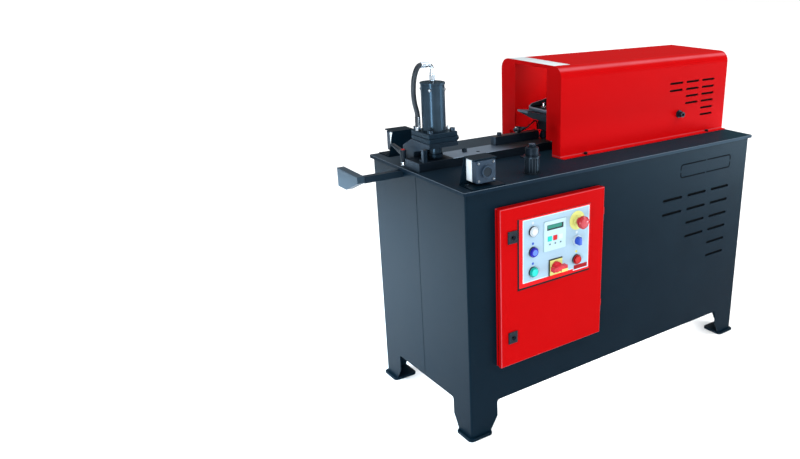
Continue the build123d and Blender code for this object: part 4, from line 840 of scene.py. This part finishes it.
# Position sensor on the rear guide: a blackened threaded barrel that two plated nuts hold in a bent
# angle. Its thin lead goes in a low arch behind the arm and down into a rubber grommet in the table.
def lay_cord(name, route, dia, material, node):
    """A cord as one smooth spline, which stands for its CAD solid."""
    curve = bpy.data.curves.new(name, "CURVE")
    curve.dimensions = "3D"
    spline = curve.splines.new("NURBS")
    spline.points.add(len(route) - 1)
    for point, position in zip(spline.points, route):
        point.co = (*position, 1.0)
    spline.order_u = 3
    spline.use_endpoint_u = True
    curve.bevel_depth = dia / 2
    curve.bevel_resolution = 6
    curve.use_fill_caps = True
    curve.materials.append(material)
    piece = add_object(name, curve)
    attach(piece, "machine")
    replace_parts(piece, node)
    return piece


sensor_y = 323
sensor_z = 858.5
thread_pitch = 1.5
barrel = bmesh.new()
thread = [(0.0, 0.0), (4.6, 0.0), (5.2, 0.6)]
for ring in range(26):
    start = 1.2 + thread_pitch * ring
    thread += [(5.95, start), (5.3, start + thread_pitch / 2)]
thread += [(5.0, 41.0), (5.0, 44.5), (3.6, 46.0), (0.0, 46.0)]
turn(barrel, thread, (406, sensor_y, sensor_z), (1, 0, 0), 24)
nuts = bmesh.new()
for x in (414.5, 428):
    turn(nuts, [(8.8, 0.0), (10.3, 0.8), (10.3, 4.2), (8.8, 5.0)], (x, sensor_y, sensor_z), (1, 0, 0), 6)
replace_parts(settle("sensor_barrel", barrel, screw_black, "machine", 30.0), "position_sensor")
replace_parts(settle("sensor_nuts", nuts, bright_zinc, "machine", 30.0), "position_sensor")
angle_iron = bmesh.new()
slab(angle_iron, (419.6, 315, 848), (428, 331, 851), 0.5)
slab(angle_iron, (425, 315, 848), (428, 331, 868), 0.5)
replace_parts(settle("sensor_angle", angle_iron, hinge_black, "machine"), "position_sensor")
lead_skin = moulded("lead_skin", (0.02, 0.025, 0.031), 0.5)
grommet = bmesh.new()
turn(grommet, [(2.6, 0), (7, 0), (7, 3), (6, 5.6), (4.4, 7), (2.6, 7)], (531, 360, 793), (0, 0, 1), 28, True)
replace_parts(settle("lead_grommet", grommet, lead_skin, "machine"), "position_sensor")
lead_route = [
    (-0.168, 0.055, 0.8585), (-0.159, 0.055, 0.8595), (-0.142, 0.0585, 0.869), (-0.126, 0.063, 0.876),
    (-0.112, 0.0685, 0.8765), (-0.1, 0.075, 0.868), (-0.093, 0.083, 0.851), (-0.09, 0.089, 0.832),
    (-0.089, 0.092, 0.814), (-0.089, 0.092, 0.8),
]
lead = lay_cord("sensor_lead", lead_route, 0.005, lead_skin, "position_sensor")

# Clamp cylinder: a turned tube in dark satin paint with an end plate and four radial screws. Two
# hexagon plugs close the plates' right side, and a plated bleed screw stands on the upper plate.
tube_dark, shader, place = start_finish("tube_dark")
smear = speckle(place, 0.028, 4.0)
far_side = ease(facing(tube_dark, "X"), 0.0, 0.4)
feed(
    shader,
    base_color=blend(smear, (0.015, 0.027, 0.04), (0.028, 0.045, 0.063)),
    roughness=0.2 + smear * 0.1 + far_side * 0.16,
    metallic=0.32,
    specular_ior_level=0.06,
    specular_tint=blue_glint,
)
dress(tube_dark, "clamp_cylinder", "clamp_ram")
cylinder_x = 84
cylinder_y = 290
screw_reach = 35.2
radial = bmesh.new()
button_head = [(5.0, 0.0), (5.0, 1.4), (4.3, 2.8), (2.7, 3.4), (2.5, 3.4), (2.4, 1.6), (0.0, 1.6)]
for quarter in range(4):
    angle = math.pi / 4 + quarter * math.pi / 2
    way = (math.cos(angle), math.sin(angle), 0)
    seat = (cylinder_x + screw_reach * way[0], cylinder_y + screw_reach * way[1], 1027)
    turn(radial, button_head, seat, way)
settle("cylinder_screws", radial, dull_zinc, "machine")
plug_z = 882
plug = bmesh.new()
for y in (252, 328):
    turn(plug, [(9.5, 0), (9.5, 1.5), (8.3, 1.8)], (133.4, y, plug_z), (1, 0, 0))
    turn(plug, [(8.0, 0), (8.0, 6.4), (7.0, 7.4)], (135.0, y, plug_z), (1, 0, 0), 6)
settle("head_plugs", plug, hinge_black, "machine", 30.0)
bleed = bmesh.new()
bleed_seat = (127, 283, 903.9)
turn(bleed, [(6.0, 0), (6.0, 5.2), (5.3, 6.0)], bleed_seat, (0, 0, 1), 6)
turn(bleed, [(3.4, 5.2), (3.4, 9.2), (2.8, 10.2), (0.0, 10.2)], bleed_seat)
white_zinc, shader, place = start_finish("white_zinc")
haze = speckle(place, 0.012, 4.0)
feed(
    shader,
    base_color=blend(haze, (0.55, 0.6, 0.65), (0.68, 0.73, 0.78)),
    roughness=0.3 + haze * 0.12,
    metallic=0.3,
)
settle("bleed_screw", bleed, white_zinc, "machine", 30.0)

# Pressure hose: rubber with a wrapped cover, from the elbow on the cylinder down to the plate.
# Its plated ferrules are crimped in rings, and the lower one's left side is painted dark as a painted
# reflection.
hose_route = [
    (-0.571, 0.022, 1.098), (-0.576, 0.022, 1.0974), (-0.5815, 0.0223, 1.0935), (-0.586, 0.023, 1.087),
    (-0.5894, 0.0246, 1.0775), (-0.5921, 0.0274, 1.0645), (-0.5934, 0.0304, 1.05), (-0.5932, 0.0338, 1.034),
    (-0.5914, 0.0384, 1.012), (-0.5874, 0.042, 0.989), (-0.582, 0.0436, 0.969), (-0.578, 0.044, 0.956),
    (-0.578, 0.044, 0.946),
]
rubber, shader, place = start_finish("hose_rubber")
turns = {"Vector": place, "Scale": 260.0, "Distortion": 1.0}
wrap = place.node("ShaderNodeTexWave", {"bands_direction": "Z"}, turns)
bloom = speckle(place, 0.01, 3.0)
feed(
    shader,
    base_color=blend(bloom, (0.0055, 0.0095, 0.0145), (0.014, 0.0215, 0.03)),
    roughness=0.32 + bloom * 0.12,
    normal=relief(wrap, 0.00012, 0.5),
    specular_ior_level=0.3,
)
hose = lay_cord("pressure_hose", hose_route, 0.015, rubber, "clamp_hose")


def ferrule(rings, length):
    """Profile of a ferrule with that many crimped rings."""
    profile = [(7.6, 0.0), (8.2, 0.5)]
    for ring in range(rings):
        start = 1.2 + 5.0 * ring
        profile += [(8.4, start), (8.4, start + 3.3), (7.8, start + 3.8), (7.8, start + 4.5)]
    return profile + [(8.4, length - 4.5), (8.4, length - 1.5), (7.0, length)]


elbow = bmesh.new()
turn(elbow, [(6.0, 0), (6.0, 6.2)], (cylinder_x, cylinder_y, 1047))
hexagon = [(8.7, 0), (9.8, 1.1), (9.8, 11.9), (8.7, 13)]
turn(elbow, hexagon, (cylinder_x, cylinder_y, 1053), (0, 0, 1), 6)
shoulder = [(6.6, 0), (7.5, 0.9), (7.5, 6.8), (7.0, 7.4), (7.0, 8.2), (6.2, 9)]
turn(elbow, shoulder, (cylinder_x, cylinder_y, 1066))
bend_r = 13.0
outlet_z = 1098.0
bend_x = cylinder_x - bend_r
bend_z = outlet_z - bend_r
bend = [(cylinder_x, 1074.0)]
for step in range(11):
    angle = math.pi / 20 * step
    bend.append((bend_x + bend_r * math.cos(angle), bend_z + bend_r * math.sin(angle)))
bend.append((68.5, outlet_z))
pipe_r = 6.0
pipe = []
for step in range(20):
    angle = math.pi / 10 * step
    pipe.append((pipe_r * math.cos(angle), cylinder_y + pipe_r * math.sin(angle)))
sweep(elbow, bend, pipe)
turn(elbow, ferrule(3, 23.0), (47, cylinder_y, outlet_z), (1, 0, 0))
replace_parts(settle("hose_elbow", elbow, chrome, "machine", 30.0), "hose_fittings")
union = bmesh.new()
turn(union, [(7.7, 0), (8.66, 1.0), (8.66, 8.0), (7.7, 9)], (42, 312, 904), (0, 0, 1), 6)
turn(union, ferrule(5, 33.5), (42, 312, 946), (0, 0, -1))
dark_reflected, shader, place = start_finish("ferrule_dark_reflected")
haze = speckle(place, 0.012, 4.0)
nut_top = 0.916
# Painted reflection: the lower ferrule's left side above the nut is dark, rough and less metallic.
dark_reflected_side = (facing(dark_reflected, "X") < -0.35) * (along(place, "Z") > nut_top)
feed(
    shader,
    base_color=blend(dark_reflected_side, blend(haze, (0.43, 0.49, 0.55), (0.5, 0.57, 0.64)), (0.012, 0.018, 0.025)),
    roughness=0.14 + haze * 0.1 + dark_reflected_side * 0.25,
    metallic=1.0 - dark_reflected_side * 0.6,
)
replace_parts(settle("hose_union", union, dark_reflected, "machine", 30.0), "hose_fittings")

# Length stop and locking lever: square black bar with a cut plate, the plate painted lighter than the bar
# as painted sheen, and a lever of filled nylon with a red push button in its hub, on a plated sleeve.
# The button's face is painted lighter than its rim, as painted highlight and shade.
# Painted sheen: the paddle's paint is lighter than the bar's.
stop_finishes = [
    ("stop_bar", "bar_paint", (0.004, 0.0105, 0.018), (0.011, 0.021, 0.032), 0.1),
    ("stop_paddle", "paddle_sheen_paint", (0.012, 0.024, 0.036), (0.03, 0.052, 0.074), 0.12),
]
for node, finish, dark, light, gloss in stop_finishes:
    dress(powder_coat(finish, dark, light, 0.4, 0.0013, 0.0002, gloss), node)
nylon = moulded("filled_nylon", (0.007, 0.013, 0.02), 0.45)
dress(nylon, "clamping_lever")
lever_x = 10.0
# Painted highlight: the button's face is lighter than its rim.
lever_red = glossy_cap("lever_red", (0.36, 0.006, 0.005), (0.5, 0.03, 0.012), lever_x, 834.0, 0.004)
dress(lever_red, "lever_button")
sleeve = bmesh.new()
sleeve_ring = [(6.1, 0), (10.5, 0), (10.5, 2.2), (8.6, 2.6), (7.6, 3.4), (7.6, 11.6), (6.1, 11.6)]
turn(sleeve, sleeve_ring, (lever_x, 354, 793), (0, 0, 1), 36, True)
settle("lever_sleeve", sleeve, chrome, "lever", 30.0)

# Two-hand control boxes: pale moulded base, dark lid with four plated corner screws, black button,
# on a bent black bracket that two screws hold on the table.
dress(slate_paint, "box_brackets")
dress(moulded("box_pale", (0.8, 0.84, 0.86), 0.4), "box_bases")
dress(moulded("lid_grey", (0.021, 0.037, 0.06), 0.42), "box_lids")
dress(nylon, "front_button", "rear_button")
corner_head = [(3.6, -0.6), (3.6, 0.8), (3.0, 1.8), (1.2, 2.1), (1.0, 0.9), (0.0, 0.9)]
wide_washer = [(7.5, 0), (7.5, 1.0), (7.0, 1.3), (5.2, 1.3)]
washer_z = 796
screw_z = 797.2
corners = bmesh.new()
bracket_heads = bmesh.new()
for face, way, foot_y in ((14, -1, 42), (526, 1, 498)):
    for x, z in itertools.product((55, 105), (811, 861)):
        turn(corners, corner_head, (x, face, z), (0, way, 0), 20)
    for x in (35, 123):
        turn(bracket_heads, wide_washer, (x, foot_y, washer_z))
        turn(bracket_heads, button_head, (x, foot_y, screw_z))
settle("lid_screws", corners, dull_zinc, "machine")
settle("bracket_screws", bracket_heads, hinge_black, "machine")

# Hood: a folded sheet in the door's red, screwed to the table through its flanges, with a moulded port
# in its front. The folds and the flange's bend carry a painted pale highlight, the red is painted brighter
# towards the table as painted light, and a pale strip across the top at the mouth is a painted highlight.
hood_red, shader, place = start_finish("hood_red")
sand = speckle(place, 0.0011)
cloud = speckle(place, 0.11, 3.0)
rise = facing(hood_red, "Z")
# Painted highlight: pale pink along the folds.
fold_highlight = ease(rise, 0.52, 0.74) * (1 - ease(rise, 0.76, 0.92)) * (cloud * 0.35 + 0.4)
hood_z = along(place, "Z")
flange_low = 0.7962
flange_high = 0.8002
# Painted highlight: a pale line along the flange's bend.
crease_highlight = within(hood_z, flange_low, flange_high) * (cloud * 0.4 + 0.3)
fold_highlight = fold_highlight + crease_highlight * (1 - (rise > 0.5))
# Painted light: the red is brighter towards the table, most on faces turned to the left.
low = 1 - ease(hood_z, 0.79, 0.93)
low = low * (0.55 + (facing(hood_red, "X") < -0.7) * 0.45)
hood_coat = blend(low, blend(sand * 0.6 + cloud * 0.4, red_dark, red_light), (0.66, 0.004, 0.006))
feed(
    shader,
    base_color=blend(fold_highlight, hood_coat, (0.48, 0.1, 0.118)),
    roughness=0.4 + cloud * 0.1 - fold_highlight * 0.1,
    normal=relief(sand, 0.00006, 0.6),
    specular_ior_level=0.01,
)
dress(hood_red, "hood")
dress(nylon, "cable_glands")
flange_heads = bmesh.new()
socket_head = [(6.0, 0.0), (6.0, 5.3), (5.4, 6.0), (3.2, 6.0), (3.0, 2.8), (0.0, 2.8)]
small_washer = [(7.0, 0), (7.0, 1.0), (6.6, 1.2), (5.6, 1.2)]
for x, y in itertools.product((547, 1148), (123, 454)):
    turn(flange_heads, small_washer, (x, y, washer_z))
    turn(flange_heads, socket_head, (x, y, screw_z))
settle("flange_screws", flange_heads, hinge_black, "machine")
# Painted highlight: a pale strip across the top at the mouth.
highlight_strip_white, shader, place = start_finish("highlight_strip_white")
film = speckle(place, 0.02, 3.0)
feed(
    shader,
    base_color=blend(film, (0.5, 0.57, 0.6), (0.57, 0.63, 0.66)),
    roughness=0.3 + film * 0.1,
    normal=relief(speckle(place, 0.0009), 0.00002, 0.4),
)
strip = bmesh.new()
slab(strip, (449, 172, 1078.8), (514, 412, 1079.5), 0.3)
settle("hood_highlight_strip", strip, highlight_strip_white, "machine")

# Filter mats behind the ventilation slots of the cabinet and the hood: black open-celled foam, cut to
# the stepped rows and glued inside the sheets. They are dark sheets put there as painted shade, so the slots
# look dark.
mats = bmesh.new()
cabinet_slots = ((845.0, 970.5, 1096.0), 618.0, 51.0, 62.0, 24.0, (3.3, 527.7))
hood_slots = ((976.0, 1061.5, 1146.0), 986.0, 25.0, 42.0, 12.0, (135.3, 436.7))
mat_t = 5.0
for columns, top, pitch, half, margin, faces in (cabinet_slots, hood_slots):
    for column, x in enumerate(columns):
        lowest = top - pitch * (2 * column + 1)
        for y in faces:
            slab(mats, (x - half, y, lowest - margin), (x + half, y + mat_t, top + margin), 1.2)
settle("vent_shade_mats", mats, foam, "machine")

# Fluted post with its collar and nut: turned steel, milled round its foot and blackened, with painted
# highlights on its ridges and on its flat top. It stands on the table in front of the bed.
post_finish, shader, place = start_finish("fluted_steel")
smear = speckle(place, 0.02, 4.0)
foot = spot(268, 49, 0)
out = distance(place, foot, (1.0, 1.0, 0.0))
post_z = along(place, "Z")
flutes_end = 0.845
ridge_low = 0.0219
ridge_high = 0.0228
post_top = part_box("fluted_post")[1].z
# Painted highlight: the tips of the ridges are lighter.
ridge_highlight = within(out, ridge_low, ridge_high) * (post_z < flutes_end) * (smear * 0.6 + 0.3)
# Painted highlight: the flat top is lighter.
lit_crown = (facing(post_finish, "Z") > 0.8) * (post_z > post_top - 0.004)
post_shade = blend(smear, (0.0018, 0.005, 0.0095), (0.007, 0.0135, 0.0215))
post_shade = blend(ridge_highlight, post_shade, (0.03, 0.042, 0.054))
feed(
    shader,
    base_color=blend(lit_crown, post_shade, (0.05, 0.075, 0.105)),
    roughness=0.42 - ridge_highlight * 0.1,
    metallic=0.3 + ridge_highlight * 0.4,
    normal=relief(smear, 0.00005, 0.4),
    specular_ior_level=0.1,
)
dress(post_finish, "fluted_post")


# Studio: a pale floor, a far backdrop that only the camera sees, a broad soft key from the upper right,
# a fill from the front, a low strip on the left, two low panels whose light the cabinet's sides mirror,
# and small fills in the shadows.
def stage_form(name, points, faces, material):
    """Adds a form of the studio, which is no part of the machine."""
    mesh = bpy.data.meshes.new(name)
    mesh.from_pydata(points, [], faces)
    mesh.materials.append(material)
    form = add_object(name, mesh)
    return form


floor_finish, shader, place = start_finish("pale_floor")
feed(shader, base_color=blend(speckle(place, 0.6), (0.9, 0.9, 0.9), (0.93, 0.93, 0.93)), roughness=0.9)
reach = 30.0
floor_corners = [(-reach, -reach, 0), (reach, -reach, 0), (reach, reach, 0), (-reach, reach, 0)]
stage_form("floor", floor_corners, [(0, 1, 2, 3)], floor_finish)
wall_sides = 48
wall_r = 28
wall_points = []
for z in (-0.5, 40.0):
    for step in range(wall_sides):
        angle = 2 * math.pi * step / wall_sides
        wall_points.append((math.cos(angle) * wall_r, math.sin(angle) * wall_r, z))
wall_faces = []
for step in range(wall_sides):
    after = (step + 1) % wall_sides
    wall_faces.append((step, after, after + wall_sides, step + wall_sides))
wall_finish, shader, place = start_finish("pale_backdrop")
feed(
    shader,
    base_color=blend(speckle(place, 3.0), (0.0, 0.0, 0.0), (0.002, 0.002, 0.002)),
    roughness=1.0,
    specular_ior_level=0.0,
    emission_color=(1.0, 1.0, 1.0, 1.0),
    emission_strength=1.0,
)
backdrop = stage_form("backdrop", wall_points, wall_faces, wall_finish)
backdrop.visible_diffuse = False
backdrop.visible_glossy = False
backdrop.visible_shadow = False
world = bpy.data.worlds.new("surround")
world.use_nodes = True
sky = Shade(world.node_tree.nodes.new("ShaderNodeTexCoord").outputs["Generated"])
dome = 0.02 + ease(along(sky, "Z"), 0.15, 0.75) * 1.75
background = world.node_tree.nodes["Background"]
background.inputs["Color"].default_value = (1.0, 1.0, 1.0, 1.0)
world.node_tree.links.new(dome.socket, background.inputs["Strength"])
bpy.context.scene.world = world


def soft_light(name, place, target, width, height, watts, colour=(1.0, 1.0, 1.0)):
    """Rectangular soft light that looks at a point."""
    lamp = bpy.data.lights.new(name, "AREA")
    lamp.shape = "RECTANGLE"
    lamp.size = width
    lamp.size_y = height
    lamp.energy = watts
    lamp.color = colour
    holder = add_object(name, lamp)
    holder.location = place
    holder.rotation_euler = (Vector(target) - Vector(place)).to_track_quat("-Z", "Y").to_euler()


soft_light("key", (1.9, -1.7, 3.3), (0.1, -0.1, 0.9), 2.2, 1.0, 52)
soft_light("front", (0.5, -3.9, 1.5), (0.0, 0.0, 0.6), 1.6, 1.6, 36)
soft_light("camera_side", (-3.1, -2.1, 0.4), (-0.53, 0.0, 0.95), 0.32, 0.8, 68, (0.72, 0.88, 1.0))
soft_light("left_floor", (-1.4, 1.3, 0.8), (-1.4, 1.3001, 0.0), 1.1, 2.6, 85, blue_glint[:3])
soft_light("right_front", (3.1, -2.2, 0.3), (0.5, -0.27, 0.7), 2.4, 0.6, 78, blue_glint[:3])
soft_light("under", (0.0, 0.0, 0.085), (0.0, 0.0001, 0.0), 1.0, 0.36, 3.0)
soft_light("hood_fill", (0.12, -0.05, 0.99), (0.0, 0.17, 0.95), 0.16, 0.06, 1.0)

# Camera: at the photograph's place and angle, with its lens shifted to the photograph's crop.
camera = bpy.data.cameras.new("photo_view")
camera.sensor_width = 36.0
camera.lens = 34.585
camera.shift_x = -0.1872
camera.shift_y = 0.0152
right = Vector((0.7749, -0.632, 0.0116)).normalized()
back = Vector((-0.5964, -0.725, 0.3445)).normalized()
up = back.cross(right).normalized()
viewer = add_object("photo_view", camera)
turned = Matrix((right, up, back)).transposed().to_4x4()
viewer.matrix_world = Matrix.Translation((-1.71205, -1.95932, 1.38777)) @ turned
bpy.context.scene.camera = viewer
bpy.context.scene.view_settings.view_transform = "Standard"
